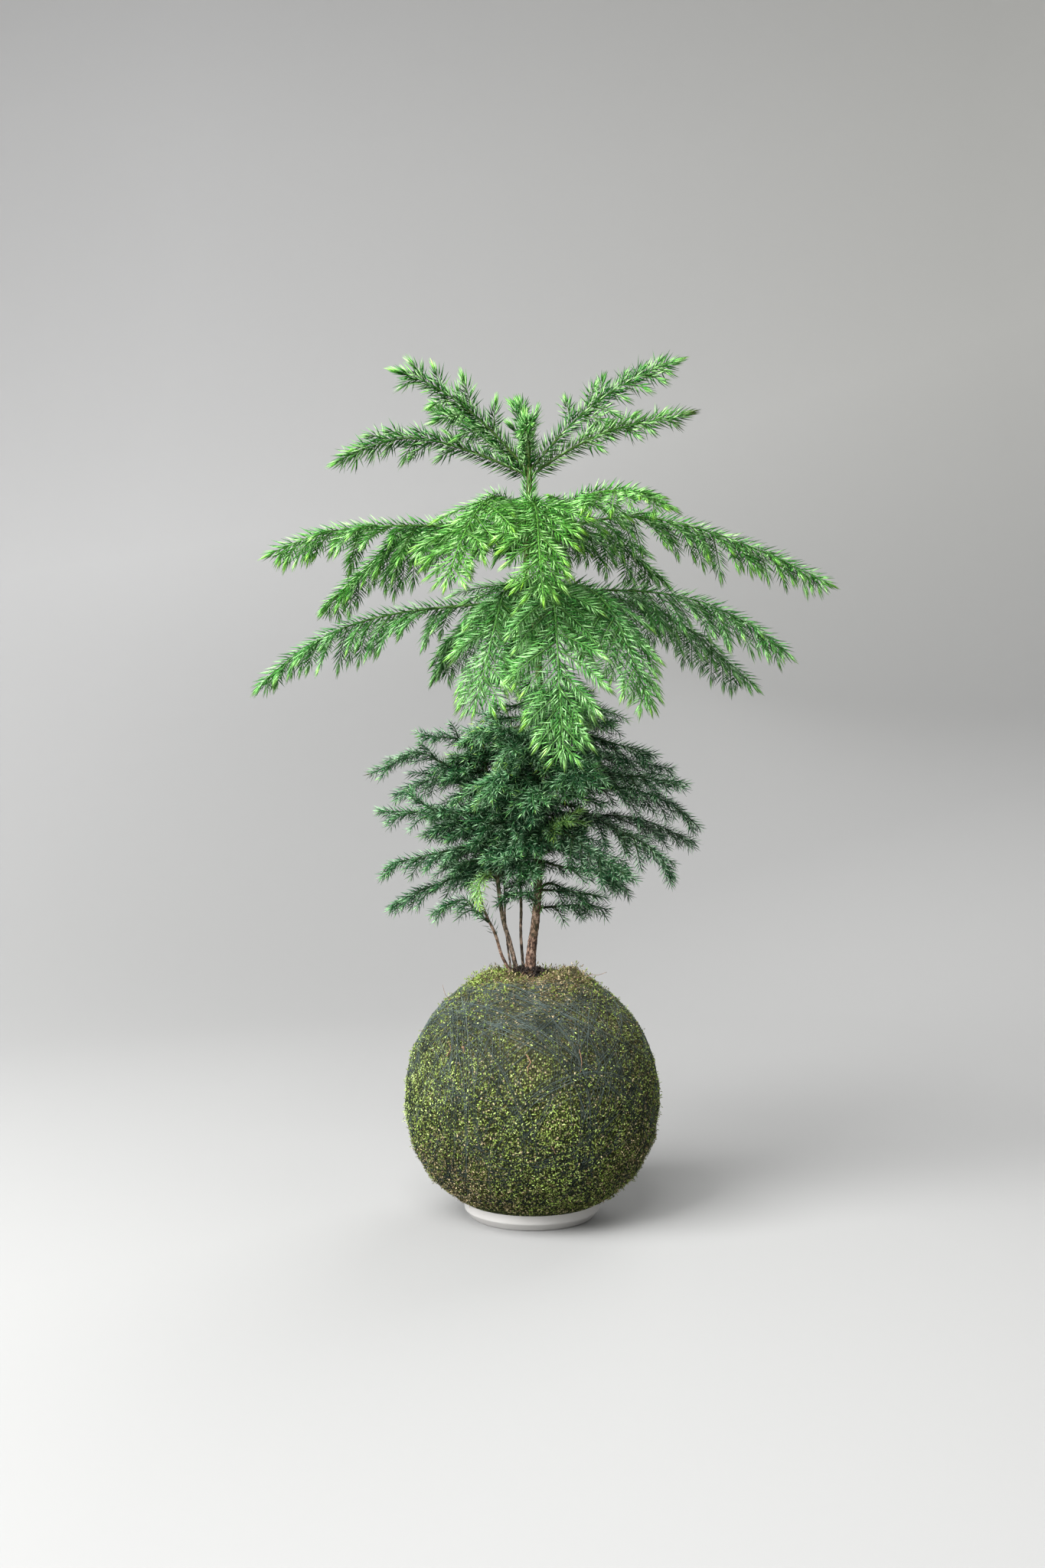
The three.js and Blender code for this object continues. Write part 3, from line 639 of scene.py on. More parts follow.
class KokedamaSettings(bpy.types.PropertyGroup):
    stage: bpy.props.PointerProperty(type=StageSettings)
    saucer: bpy.props.PointerProperty(type=SaucerSettings)
    moss: bpy.props.PointerProperty(type=MossSettings)
    soil: bpy.props.PointerProperty(type=SoilSettings)
    thread: bpy.props.PointerProperty(type=ThreadSettings)
    bark: bpy.props.PointerProperty(type=BarkSettings)
    needles: bpy.props.PointerProperty(type=NeedleSettings)


# Fronds

# Main twigs, in millimetres: their radii, how much at the root and at the point has no branchlets, how
# flat their needles lie, how woody they are, and the sides and steps that they are drawn with
TWIG = {
    "radii": (1.1, 0.4), "bare": 13, "bare_share": 0.22, "point": 8, "flat": 0.1, "woody": 0.9, "sides": 6,
    "steps": 44,
}

# Branchlets, in millimetres and degrees: their radii, where they bend, how far they may reach past the
# tip of the main twig, how far the two rows stand apart and stray along it, how the angle and the droop
# vary, and the shortest length
BRANCHLET = {
    "radii": (0.6, 0.3), "knee": 0.62, "past_tip": 6, "woody": 0.7, "sides": 3, "steps": 6, "stagger": 0.2,
    "stray": 0.12, "turn": 5, "droop": (0.6, 1.4), "shortest": 4,
}

# Needles, in millimetres and degrees: how far from the root of a twig they start, the longest bud as a
# share of the twig, and how their angle, turn, length and freshness vary
NEEDLE = {"start": 2.0, "bud": 0.45, "tilt": 4, "turn": 0.1, "length": (0.88, 1.12), "fresh": 0.06}


def blade(width, widest):
    """A thin closed blade in edit mode, a unit long: pointed at both ends and folded along its middle."""
    piece = modelled("cone", vertices=3, radius1=width / math.sqrt(3), depth=1 - widest)
    edit(piece)
    bpy.ops.transform.rotate(value=math.pi / 2, orient_axis="Z", center_override=(0, 0, 0))
    bpy.ops.transform.translate(value=(0, 0, (1 + widest) / 2))
    bpy.ops.object.mode_set(mode="OBJECT")
    ridge = max(piece.data.vertices, key=lambda vertex: abs(vertex.co.x)).co.x
    pick(piece, lambda place: abs(place.x - ridge) < 0.01)
    bpy.ops.transform.translate(value=(-ridge, 0, -widest))
    bpy.ops.mesh.select_all(action="SELECT")
    return piece


def needle_shape(width):
    """One needle, a unit long: slim, keeled, and curved in towards its twig's end."""
    piece = blade(width, widest=0.35)
    bpy.ops.transform.rotate(value=math.radians(45), orient_axis="Z", center_override=(0, 0, 0))
    bpy.ops.object.mode_set(mode="OBJECT")
    pick(piece, lambda place: place.z > 0.9)
    bpy.ops.transform.translate(value=(0.08, 0, 0))
    return shape_of(shaped(piece, 80))


def stem_place(name, height):
    """The middle and the radius of a stem at a height, in millimetres."""
    points = np.array(STEMS[name]["points"], float)
    across = [np.interp(height, points[:, 2], points[:, k]) for k in (0, 1)]
    return np.array([*across, height]), np.interp(height, points[:, 2], STEMS[name]["radii"])


def bend(start, middle, end, steps):
    """A line from start to end, drawn towards the middle point."""
    t = np.linspace(0, 1, steps)[:, None]
    return (1 - t) ** 2 * start + 2 * t * (1 - t) * middle + t * t * end


def run_of(line):
    """Distances along a line, from its start to each of its points."""
    return np.concatenate([[0], np.cumsum(np.linalg.norm(np.diff(line, axis=0), axis=1))])


def along_line(line, run, distances):
    """Places and tangents at distances along a line."""
    tangents = unit(np.gradient(line, axis=0))
    place = np.stack([np.interp(distances, run, line[:, k]) for k in range(3)], axis=-1)
    tangent = np.stack([np.interp(distances, run, tangents[:, k]) for k in range(3)], axis=-1)
    return place, unit(tangent)


def turned_about(vector, axis, angle):
    """A vector turned by an angle round a unit axis."""
    return (vector * math.cos(angle) + np.cross(axis, vector) * math.sin(angle)
            + axis * np.sum(axis * vector, axis=-1, keepdims=True) * (1 - math.cos(angle)))


def clothe(spray, shape, line, facing, draw, coat):
    """Sets a coat of needles in a spiral on a twig, folded together round the bud at its end.

    A coat has the needles' length, how many there are for each millimetre (dense), how wide they open
    (splay), how flat they lie at the sides of the twig, how fresh they are at its root and tip, how dry
    they are, the length and the opening of its bud, and how far from the line they are rooted (bark).
    """
    run = run_of(line)
    total = run[-1]
    stations = np.arange(NEEDLE["start"], total, 1 / coat["dense"])
    count = len(stations)
    if not count:
        return
    share = stations / total
    bud, folded = coat["bud"]
    bud = min(bud, total * NEEDLE["bud"])
    closing = np.clip((stations - total + bud) / max(bud, 1e-6), 0, 1) * (bud > 0)
    wide, narrow = coat["splay"]
    opening = np.radians(wide + (narrow - wide) * share + draw.normal(0, NEEDLE["tilt"], count))
    opening += (math.radians(folded) - opening) * closing ** 0.5
    turn = np.arange(count) * GOLDEN + draw.uniform(0, math.tau) + draw.normal(0, NEEDLE["turn"], count)
    aside = (turn + math.pi / 2) % math.pi - math.pi / 2
    turn -= coat["flat"] * aside * (1 - closing)
    place, tangent = along_line(line, run, stations)
    right = crossed(tangent, np.broadcast_to(facing, tangent.shape))
    up = np.cross(right, tangent)
    spoke = right * np.cos(turn)[:, None] + up * np.sin(turn)[:, None]
    along = tangent * np.cos(opening)[:, None] + spoke * np.sin(opening)[:, None]
    sizes = coat["length"] * draw.uniform(*NEEDLE["length"], count) * (1 - 0.15 * closing)
    sizes *= np.clip(0.72 + stations / 18, 0, 1)
    base, tip = coat["fresh"]
    growing = 0.3 * share ** 3 + 0.7 * closing ** 1.3
    freshness = base + (tip - base) * growing + draw.normal(0, NEEDLE["fresh"], count)
    tone = draw.uniform(0, 1, count)
    dry = coat["dry"] * (0.25 + closing)
    marks = np.stack([np.clip(freshness, 0, 1), tone, np.clip(dry, 0, 1)], axis=1)
    spray.stamp(shape, place + spoke * coat["bark"], along, tangent, sizes, marks)


def add_twig(spray, line, kind, facing, fresh):
    """Adds the wood of a main twig or a branchlet, greener towards its tip."""
    radii = np.linspace(*kind["radii"], len(line))
    points, faces = tube(line, radii, kind["sides"], facing)
    share = np.repeat(np.linspace(0, 1, len(line)), kind["sides"])
    share = np.concatenate([share, [0, 1]])
    base, tip = fresh
    freshness = base + (tip - base) * 0.4 * share ** 2
    woody = kind["woody"] * (1 - 0.8 * share)
    spray.add(points, faces, np.stack([freshness, np.full(len(points), 0.4), woody], axis=1))


def frond_line(stem, at, heading, out_and_up, tip, steps):
    """The main twig's line, rooted in the bark of its stem."""
    place, radius = stem_place(stem, at)
    out = np.array([math.cos(math.radians(heading)), math.sin(math.radians(heading)), 0])

    def spot(reach, height):
        return np.array([*(place + out * reach)[:2], height])

    return bend(spot(radius * 0.5, at), spot(*out_and_up), spot(*tip), steps)


def swayed(line, draw, amount):
    """A line that sways off its course, between ends that stay where they are."""
    t = np.linspace(0, 1, len(line))[:, None]
    waves = (1, 2, 3)
    return line + amount * sum(draw.normal(size=3) / k * np.sin(math.pi * k * t) for k in waves)


def branchlet_share(share):
    """Length of a branchlet by its place on the main twig: short at the stem and shortest at the tip."""
    rise = min(1, 0.5 + 1.4 * share)
    fall = 1 - 0.72 * max(0, (share - 0.5) / 0.5) ** 1.5
    return rise * fall


def grow_spray(spray, line, habit, longest, fresh, dry, draw, shape, settings):
    """Adds a main twig, its two rows of branchlets and all their needles to a gathering.

    The habit is a tier's or a sprig's values, and longest is the full length of a branchlet.
    """
    run = run_of(line)
    total = run[-1]
    tangents = unit(np.gradient(line, axis=0))
    middle = tangents[len(line) // 2]
    facing = turned_about(np.cross(crossed(middle, UP), middle), middle, math.radians(habit["roll"]))
    hang = 1 - 0.75 * max(0, -middle[1])
    base, end = fresh
    coat = {
        "length": habit["needle"], "dense": habit["mane"] * settings.density, "splay": habit["splay"],
        "flat": TWIG["flat"], "fresh": fresh, "dry": dry, "bud": habit["bud"], "bark": 0,
    }
    add_twig(spray, line, TWIG, facing, fresh)
    clothe(spray, shape, line, facing, draw, coat)
    wide, narrow = habit["open"]
    first = max(min(TWIG["bare"], total * TWIG["bare_share"]), total * habit.get("bare", 0))
    for station in np.arange(first, total - TWIG["point"], habit["spacing"]):
        for side in (-1, 1):
            here = station + side * BRANCHLET["stagger"] * habit["spacing"]
            here += draw.normal(0, BRANCHLET["stray"]) * habit["spacing"]
            here = np.clip(here, 4, total - 3)
            share = here / total
            place, tangent = along_line(line, run, np.array([here]))
            place, tangent = place[0], tangent[0]
            right = crossed(tangent, facing)
            opening = math.radians(wide + (narrow - wide) * share + draw.normal(0, BRANCHLET["turn"]))
            droop = draw.uniform(*BRANCHLET["droop"])
            down = habit["droop"] * droop * hang + draw.normal(0, habit.get("tumble", 0))
            ahead = unit(tangent * math.cos(opening) + right * side * math.sin(opening) - UP * down)
            hanging = unit(ahead - UP * habit["sag"] * droop * hang)
            size = longest * branchlet_share(share) * draw.uniform(*habit["uneven"])
            room = total - here + BRANCHLET["past_tip"]
            size = max(BRANCHLET["shortest"], min(size, room) - habit["needle"] * 0.3)
            knee = place + ahead * size * BRANCHLET["knee"]
            twig = bend(place, knee, knee + hanging * size * (1 - BRANCHLET["knee"]), BRANCHLET["steps"])
            young = (base + 0.25 * share * (end - base), end)
            add_twig(spray, twig, BRANCHLET, facing, young)
            clothe(spray, shape, twig, facing, draw, {
                **coat, "dense": habit["dense"] * settings.density, "flat": habit["flat"], "fresh": young,
                "dry": dry * (share > 0.85),
            })


def needle_finish(name, settings):
    """One of the three finishes of needle, such as young_needles, from the settings of its name."""
    return finish(name, needle_material, getattr(settings, name.split("_")[0]))


def grow_frond(name, tier, frond, material, shape, settings):
    """One frond, which stands for the frame's plain one."""
    stem, at, heading, out_and_up, tip, longest = frond
    draw = np.random.default_rng(sum(ord(letter) * (i + 3) for i, letter in enumerate(name)))
    line = swayed(frond_line(stem, at, heading, out_and_up, tip, TWIG["steps"]), draw, tier["sway"])
    # Painted light: fronds that grow to the front, towards the lamps, are made fresher and so lighter
    painted_front_light = -tier.get("front", 0) * math.sin(math.radians(heading))
    fresh = (max(0, tier["fresh"] + painted_front_light), tier["tip"] + painted_front_light * 0.5)
    if name in BRIGHT_SHOOTS:
        fresh = (0.8, 1.0)
    spray = Gathering()
    grow_spray(spray, line, tier, longest, fresh, 0.9 * (name in DRY_TIPS), draw, shape, settings)
    settle(spray.piece(NEEDLE_MARKS), name + "_needles", tier["finish"], material, name)


class KOKEDAMA_OT_fronds(bpy.types.Operator):
    """Grows one tier of fronds over the plain ones of the frame, needle by needle"""
    bl_idname = "kokedama.fronds"
    bl_label = "Fronds"

    tier: bpy.props.EnumProperty(
        name="Tier", description="The tier of fronds to grow",
        items=[(tier, tier.capitalize(), f"The {tier} fronds") for tier in TIERS])

    def execute(self, context):
        settings = context.scene.kokedama.needles
        tier = TIERS[self.tier]
        material = needle_finish(tier["finish"], settings)
        shape = needle_shape(settings.width)
        for i, frond in enumerate(tier["fronds"]):
            grow_frond(f"frond_{self.tier}_{i + 1}", tier, frond, material, shape, settings)
        return {"FINISHED"}


class KOKEDAMA_OT_sprigs(bpy.types.Operator):
    """Fills the inside of the low tiers with short, uneven sprigs"""
    bl_idname = "kokedama.sprigs"
    bl_label = "Inner sprigs"

    def execute(self, context):
        settings = context.scene.kokedama.needles
        material = needle_finish("shaded_needles", settings)
        shape = needle_shape(settings.width)
        draw = np.random.default_rng(17)
        for stem, groups in SPRIGS.items():
            spray = Gathering()
            for low, high, count, headings, lengths, fresh in groups:
                for i in range(count):
                    at = low + (high - low) * (i + draw.uniform(0.1, 0.9)) / count
                    reach = draw.uniform(*lengths)
                    bent = (reach * 0.5, at + draw.uniform(*SPRIG["bend"]))
                    tip = (reach, at + draw.uniform(*SPRIG["end"]))
                    line = frond_line(stem, at, draw.uniform(*headings), bent, tip, SPRIG["steps"])
                    line = swayed(line, draw, SPRIG["sway"])
                    longest = reach * SPRIG["branchlet"]
                    grow_spray(spray, line, SPRIG, longest, (fresh, fresh + 0.6), 0, draw, shape, settings)
            settle(spray.piece(NEEDLE_MARKS), f"inner_sprigs_{stem}", "shaded_needles", material)
        return {"FINISHED"}


# Stems

# Needles straight on the stems: the heights between which they stand, how many a millimetre and how long
STEM_NEEDLES = {
    "trunk": [
        (210, 262, 2.6, 6.5), (262, 392, 1.4, 7), (392, 470, 1.1, 7.5), (484, 525, 4.2, 9),
        (528, 566, 3.2, 10),
    ],
    "left": [(196, 226, 0.9, 7)],
    "thin": [(212, 262, 0.8, 8)],
    "mid": [(214, 300, 0.9, 6.5), (300, 336, 0.9, 8)],
    "slim": [(300, 350, 0.8, 8)],
}
STEM_FINISH = {
    "trunk": "red_bark", "left": "red_bark", "thin": "grey_bark", "mid": "grey_bark", "slim": "grey_bark",
}

# Coats of needles on a stem: at its growing top, where they fold round the bud, and lower down
TOP_COAT = {"splay": (60, 40), "bud": (8, 8)}
STEM_COAT = {"splay": (50, 40), "bud": (0, 0), "fresh": (0.42, 0.5)}


def bark_material(name, settings, red):
    """Flaking bark with dark cracks, in red or grey, and green where a stem is young."""
    shader = Shader(name, 0.85)
    flakes = shader.noise(560, 3, (1, 1, 0.55))
    flecks = shader.noise(1500, 3, (1, 1, 0.7))
    old = settings.red if red else settings.grey
    bark = shader.ramp(flakes, [(0.38, settings.dark), (0.49, old), (0.66, settings.flake)])
    bark = shader.mix(shader.scaled(flecks, 0.0, 0.8, 0.5, 0.6), bark, settings.dark)
    wavering = shader.sum(shader.along_axis("Z"), shader.scaled(shader.noise(60, 3), -0.03, 0.03))
    start, end = (0.195, 0.32) if red else (0.2, 0.3)
    youth = shader.scaled(wavering, 0.0, 0.8, start, end)
    shader.into("Base Color", shader.mix(youth, bark, settings.green))
    shader.bump(shader.mix(0.35, flakes, flecks), 0.0009, 1.0)
    shader.dull(0.15)
    return shader.material


def stem_tube(points, radii, fineness):
    """A tapered tube through the stem's points, drawn as a smooth curve and made a mesh."""
    curve = bpy.data.curves.new("stem", "CURVE")
    curve.dimensions = "3D"
    curve.resolution_u = fineness
    curve.bevel_depth = MM
    curve.bevel_resolution = 3
    curve.use_fill_caps = True
    spline = curve.splines.new("BEZIER")
    spline.bezier_points.add(len(points) - 1)
    for knot, point, radius in zip(spline.bezier_points, points, radii):
        knot.co = Vector(point) * MM
        knot.radius = radius
        knot.handle_left_type = knot.handle_right_type = "AUTO"
    piece = bpy.data.objects.new("stem", curve)
    bpy.context.scene.collection.objects.link(piece)
    activate(piece)
    bpy.ops.object.convert(target="MESH")
    piece = bpy.context.object
    edit(piece)
    return shaped(piece, 180)


def roughen(piece, name, size, strength):
    """Pushes a surface in and out by soft noise of one size, in metres."""
    texture = bpy.data.textures.new(name, "CLOUDS")
    texture.noise_scale = size
    texture.noise_depth = 3
    modifier = piece.modifiers.new(name, "DISPLACE")
    modifier.texture = texture
    modifier.texture_coords = "LOCAL"
    modifier.strength = strength
    modifier.mid_level = 0.5
    apply_modifier(piece, modifier)


class KOKEDAMA_OT_stems(bpy.types.Operator):
    """Makes the barked stems and the needles that stand straight on them"""
    bl_idname = "kokedama.stems"
    bl_label = "Stems"

    def execute(self, context):
        settings = context.scene.kokedama
        for name, bark in STEM_FINISH.items():
            stem = STEMS[name]
            fineness, roughness = (24, 1.1) if name == "trunk" else (12, 0.5)
            piece = stem_tube(stem["points"], stem["radii"], fineness)
            roughen(piece, f"{name}_bark", 2.2 * MM, roughness * MM)
            material = finish(bark, bark_material, settings.bark, bark == "red_bark")
            settle(piece, f"stem_{name}_bark", bark, material, f"stem_{name}")
            self.add_needles(name, stem, settings.needles)
        return {"FINISHED"}

    def add_needles(self, name, stem, settings):
        """Sets needles along a stem, rooted just under its bark."""
        shape = needle_shape(settings.width)
        slot, tip = ("young_needles", 1.0) if name == "trunk" else ("shaded_needles", 0.6)
        top = {**TOP_COAT, "fresh": (0.2, tip)}
        draw = np.random.default_rng(len(name) * 31 + ord(name[0]))
        tuft = Gathering()
        for low, high, dense, length in STEM_NEEDLES[name]:
            line = np.array([stem_place(name, z)[0] for z in np.linspace(low, high, 30)])
            bark = 0.8 * stem_place(name, (low + high) / 2)[1]
            is_top = high == stem["points"][-1][2]
            coat = {**(top if is_top else STEM_COAT), "length": length, "dense": dense, "bark": bark}
            clothe(tuft, shape, line, np.array([0, 1, 0]), draw, {**coat, "flat": 0, "dry": 0})
        settle(tuft.piece(NEEDLE_MARKS), f"stem_{name}_needles", slot, needle_finish(slot, settings))


# Ball of moss

# Patches of tone on the moss: a direction from the ball's middle, how wide, and the change of tone, from 0
# for dead moss to 1 for fresh. Some are fresher and drier moss; the lighter patch at the left is partly
# painted light, and the darker ones at the right and below are partly painted shade.
MOSS_AND_LIGHT_PATCHES = [
    ((-0.9, -0.35, 0.2), 0.5, 0.2), ((-0.6, -0.6, -0.6), 0.5, -0.36), ((0.1, -0.85, -0.45), 0.45, 0.10),
    ((0.8, -0.5, -0.25), 0.55, -0.18), ((0.05, -0.45, 0.85), 0.34, -0.30), ((-0.35, -0.1, 0.93), 0.2, 0.06),
    ((0.28, -0.08, 0.95), 0.2, -0.24), ((0.5, 0.8, 0.1), 0.6, 0.08), ((-0.5, 0.8, -0.3), 0.5, -0.12),
    ((0, -0.3, -0.95), 0.4, -0.22),
]

# The skin of the moss, in millimetres: where its outline lies under the ball, its heights up the side,
# and the radii and heights down its mouth; then how high and how far out it starts to be lumpy
SKIN = {
    "under": [(0.001, 5.1), (38.7, 5.1), (43.7, 9.1)], "lowest": 14.6, "side": (17, 165), "rings": 84,
    "mouth": [
        (35, 168), (30, 169.6), (25, 170.4), (21, 170.8), (18, 170), (17, 167), (16, 160), (0.001, 160),
    ],
    "steps": 150, "plain": 15, "plain_mouth": 17.5,
}

# Mounds of moss round the mouth, in millimetres: their middle, width and height
MOSS_MOUNDS = [
    ((-31, -8, 164), 17, 7), ((25, -5, 166), 17, 9), ((-5, 27, 166), 14, 5), ((38, 12, 160), 13, 4),
    ((-24, 18, 165), 13, 5), ((-3, -30, 165), 18, -3),
]


def ball_radius(heights):
    """Radius of the ball at some heights, in millimetres."""
    rise = np.asarray(heights, float) - BALL["waist"]
    half = np.where(rise >= 0, BALL["crown"], BALL["belly"])
    power = np.where(rise >= 0, 2, BALL["fullness"])
    share = np.minimum(1, np.abs(rise) / half)
    return BALL["radius"] * (1 - share ** power) ** (1 / power)


def ball_normals(places):
    """Outward directions of the ball's surface near some places, in millimetres."""
    rise = places[:, 2] - BALL["waist"]
    above = rise >= 0
    half = np.where(above, BALL["crown"], BALL["belly"])
    power = np.where(above, 2, BALL["fullness"])
    flat = np.linalg.norm(places[:, :2], axis=1) + 1e-9
    across = (flat / BALL["radius"]) ** (power - 1) / BALL["radius"]
    upward = np.sign(rise) * (np.abs(rise) / half) ** (power - 1) / half
    return unit(np.stack([places[:, 0] / flat * across, places[:, 1] / flat * across, upward], axis=1))


def bed_material(settings):
    """Dark damp moss, which shows between the leaves and the turns of thread, lighter towards the top of
    the ball as dry moss and as painted light from above.
    """
    shader = Shader("moss_bed", 0.95)
    cells = shader.node("TexVoronoi", {"Vector": shader.object_coordinates(), "Scale": 620})
    own = shader.node("SeparateColor", {0: cells.outputs["Color"]}).outputs[0]
    flecks = shader.ramp(own, [
        (0.3, settings.bed), (0.55, settings.olive), (0.8, settings.green), (0.93, settings.tan),
    ])
    edges = shader.scaled(cells.outputs["Distance"], 0.0, 1.0, 0.25, 0.6)
    # Lighter and drier towards the top of the ball: partly dry moss, partly painted light from above
    lit_top = shader.scaled(shader.along_axis("Z"), 0.0, 0.7, 0.085, 0.165)
    dry_and_lit = shader.node("Math", {0: lit_top, 1: shader.scaled(own, 0.2, 1.0)}, operation="MULTIPLY")
    bed = shader.mix(edges, flecks, settings.bed)
    shader.into("Base Color", shader.mix(dry_and_lit.outputs[0], bed, settings.dry))
    shader.bump(edges, 0.0008, 1.0)
    shader.dull(0.05)
    return shader.material


def moss_material(settings):
    """Moss leaves in lime, green, olive and tan, each its own."""
    shader = Shader("moss", 0.75)
    tone = shader.mark("tone")
    speckle = shader.scaled(shader.noise(500, 2), -0.08, 0.08, 0.3, 0.7)
    varied = shader.node("Math", {0: tone, 1: speckle}, use_clamp=True).outputs[0]
    moss = shader.ramp(varied, [
        (0.0, settings.brown), (0.12, settings.tan), (0.26, settings.brown), (0.4, settings.olive),
        (0.66, settings.green), (0.92, settings.lime),
    ])
    shader.into("Base Color", moss)
    shader.bump(shader.noise(1400, 4), 0.0003, 0.6)
    shader.dull(0.08)
    return shader.material


def moss_tone(places, draw, spread):
    """Tone of the moss at places in millimetres: darker away from the waist, painted shade at the bottom;
    patches by direction, partly painted light and shade; soft noise and a draw for each.
    """
    ways = unit(places - np.array([0, 0, BALL["waist"]]))
    # Darker away from the waist, towards the top and the bottom; at the bottom this is painted shade
    tone = 0.57 - 0.001 * np.abs(places[:, 2] - BALL["waist"])
    # Patches by direction, partly painted light and painted shade
    for way, reach, change in MOSS_AND_LIGHT_PATCHES:
        apart = np.linalg.norm(ways - unit(np.array(way)), axis=1)
        tone += change * np.exp(-(apart / reach) ** 2)
    tone += 0.12 * np.array([noise.noise(Vector(place) / 9) for place in places])
    return np.clip(tone + draw.normal(0, spread, len(places)), 0, 1)


def moss_lumps(places):
    """Soft lumps of the moss under the thread, at places in millimetres."""
    return np.array([noise.fractal(Vector(place) / 13, 1.0, 2.0, 3) for place in places]) * 1.6


def moss_relief(places):
    """How far the moss stands out at places in millimetres: soft lumps and mounds round the mouth."""
    fine = np.array([noise.noise(Vector(place) / 4) for place in places]) * 0.4
    relief = moss_lumps(places) + fine - 1.2
    for middle, width, height in MOSS_MOUNDS:
        apart = np.linalg.norm(places - np.array(middle), axis=1)
        relief += height * np.exp(-(apart / (width * 0.55)) ** 2)
    return relief


def skin_outline():
    """Radii and heights of the plain moss: out under the ball, up its side and down its mouth."""
    heights = np.concatenate([[SKIN["lowest"]], np.linspace(*SKIN["side"], SKIN["rings"])])
    return [*SKIN["under"], *[(float(ball_radius(height)), height) for height in heights], *SKIN["mouth"]]


def raised(places):
    """Places on the plain moss, in millimetres, moved out in lumps and mounds."""
    free = np.clip((places[:, 2] - SKIN["plain"]) / 6, 0, 1)
    free *= np.linalg.norm(places[:, :2], axis=1) > SKIN["plain_mouth"]
    return places + ball_normals(places) * (moss_relief(places) * free)[:, None]


def moss_skin():
    """The moss's closed skin: a turned outline with a mouth for the stems, raised in lumps."""
    piece = turned([(radius * MM, height * MM) for radius, height in skin_outline()], SKIN["steps"])
    mesh = piece.data
    places = np.empty(len(mesh.vertices) * 3)
    mesh.vertices.foreach_get("co", places)
    places = raised(places.reshape(-1, 3) / MM)
    mesh.vertices.foreach_set("co", (places * MM).ravel())
    return piece


def skin_corners():
    """Corners of the skin's triangles, in millimetres and always in the same order."""
    turns = np.arange(SKIN["steps"]) * math.tau / SKIN["steps"]
    ways = np.stack([np.cos(turns), np.sin(turns), np.zeros(SKIN["steps"])], axis=1)
    rings = np.array([ways * radius + (0, 0, height) for radius, height in skin_outline()])
    rings = raised(rings.reshape(-1, 3)).reshape(rings.shape)
    beside = np.roll(rings, -1, axis=1)
    lower = np.stack([rings[:-1], beside[:-1], beside[1:]], axis=2)
    upper = np.stack([rings[:-1], beside[1:], rings[1:]], axis=2)
    return np.concatenate([lower.reshape(-1, 3, 3), upper.reshape(-1, 3, 3)])


def moss_leaf():
    """One moss leaf, a unit long."""
    piece = blade(0.44, widest=0.45)
    bpy.ops.transform.resize(value=(0.6, 1, 1))
    return shape_of(shaped(piece, 20))


# Where leaves grow, in millimetres: above a height and outside a radius, more of them over the edge of
# the mouth
GROWTH = {"lowest": 17, "mouth": 17, "edge": 163, "more": 2.2}

# Leaves, in millimetres and degrees: the middle and the spread of how far they stand up, the shortest as a
# share of the usual length and how rare long ones are, how far over the skin they lie, and how their tone
# varies
LEAVES = {"rise": (6, 20), "shortest": 0.45, "rare": 1.8, "lift": (0.2, 1.5), "tone": 0.18}

# Tufts, in millimetres and degrees: how far they lean, their lengths, the height over which they are longer
# and how much, how many leaves each has, how their tone varies, and how that of their leaves does
TUFTS = {
    "lean": (5, 62), "length": (1.4, 2.6), "edge": 160, "longer": 1.6, "leaves": 6, "tone": 0.16,
    "leaf_tone": 0.1,
}

# Where the thread shows: the direction of the middle of that part, how wide it is, what it lacks in
# leaves, and the height in millimetres that it ends at
THREAD_SHOWS = {"way": (0.1, -0.75, 0.62), "reach": 0.72, "less": 0.68, "highest": 158}


def skin_spots(corners, count, draw):
    """Places all over the moss, more round the mouth and fewer where the thread shows, and the ways out."""
    middle = corners.mean(axis=1)
    height = middle[:, 2]
    area = np.linalg.norm(np.cross(corners[:, 1] - corners[:, 0], corners[:, 2] - corners[:, 0]), axis=1)
    area *= (height > GROWTH["lowest"]) & (np.linalg.norm(middle[:, :2], axis=1) > GROWTH["mouth"])
    area *= np.where(height > GROWTH["edge"], GROWTH["more"], 1)
    apart = np.linalg.norm(ball_normals(middle) - unit(np.array(THREAD_SHOWS["way"])), axis=1)
    shows = np.exp(-(apart / THREAD_SHOWS["reach"]) ** 4) * (height < THREAD_SHOWS["highest"])
    area *= 1 - THREAD_SHOWS["less"] * shows
    chosen = draw.choice(len(corners), count, p=area / area.sum())
    weights = draw.dirichlet((1, 1, 1), count)
    places = np.einsum("nk,nkj->nj", weights, corners[chosen])
    return places, ball_normals(places)


def moss_leaves(corners, settings, above):
    """Single leaves that lie on one half of the moss every way, among and over the thread."""
    draw = np.random.default_rng(11)
    places, normals = skin_spots(corners, settings.leaves * 2, draw)
    chosen = (places[:, 2] > BALL["waist"]) == above
    places, normals = places[chosen], normals[chosen]
    count = len(places)
    along = unit(np.cross(normals, draw.normal(size=(count, 3))))
    rise = np.radians(np.abs(draw.normal(*LEAVES["rise"], count)))[:, None]
    ahead = along * np.cos(rise) + normals * np.sin(rise)
    faced = normals + 0.5 * draw.normal(size=(count, 3))
    sizes = settings.leaf / MM * (LEAVES["shortest"] + draw.uniform(0, 1, count) ** LEAVES["rare"])
    lift = draw.uniform(*LEAVES["lift"], count)
    lifted = places + normals * lift[:, None] - ahead * (sizes * 0.45)[:, None]
    marks = moss_tone(places, draw, LEAVES["tone"])[:, None]
    bed = Gathering()
    bed.stamp(moss_leaf(), lifted, ahead, faced, sizes, marks)
    return bed.piece(("tone",), smooth=False)


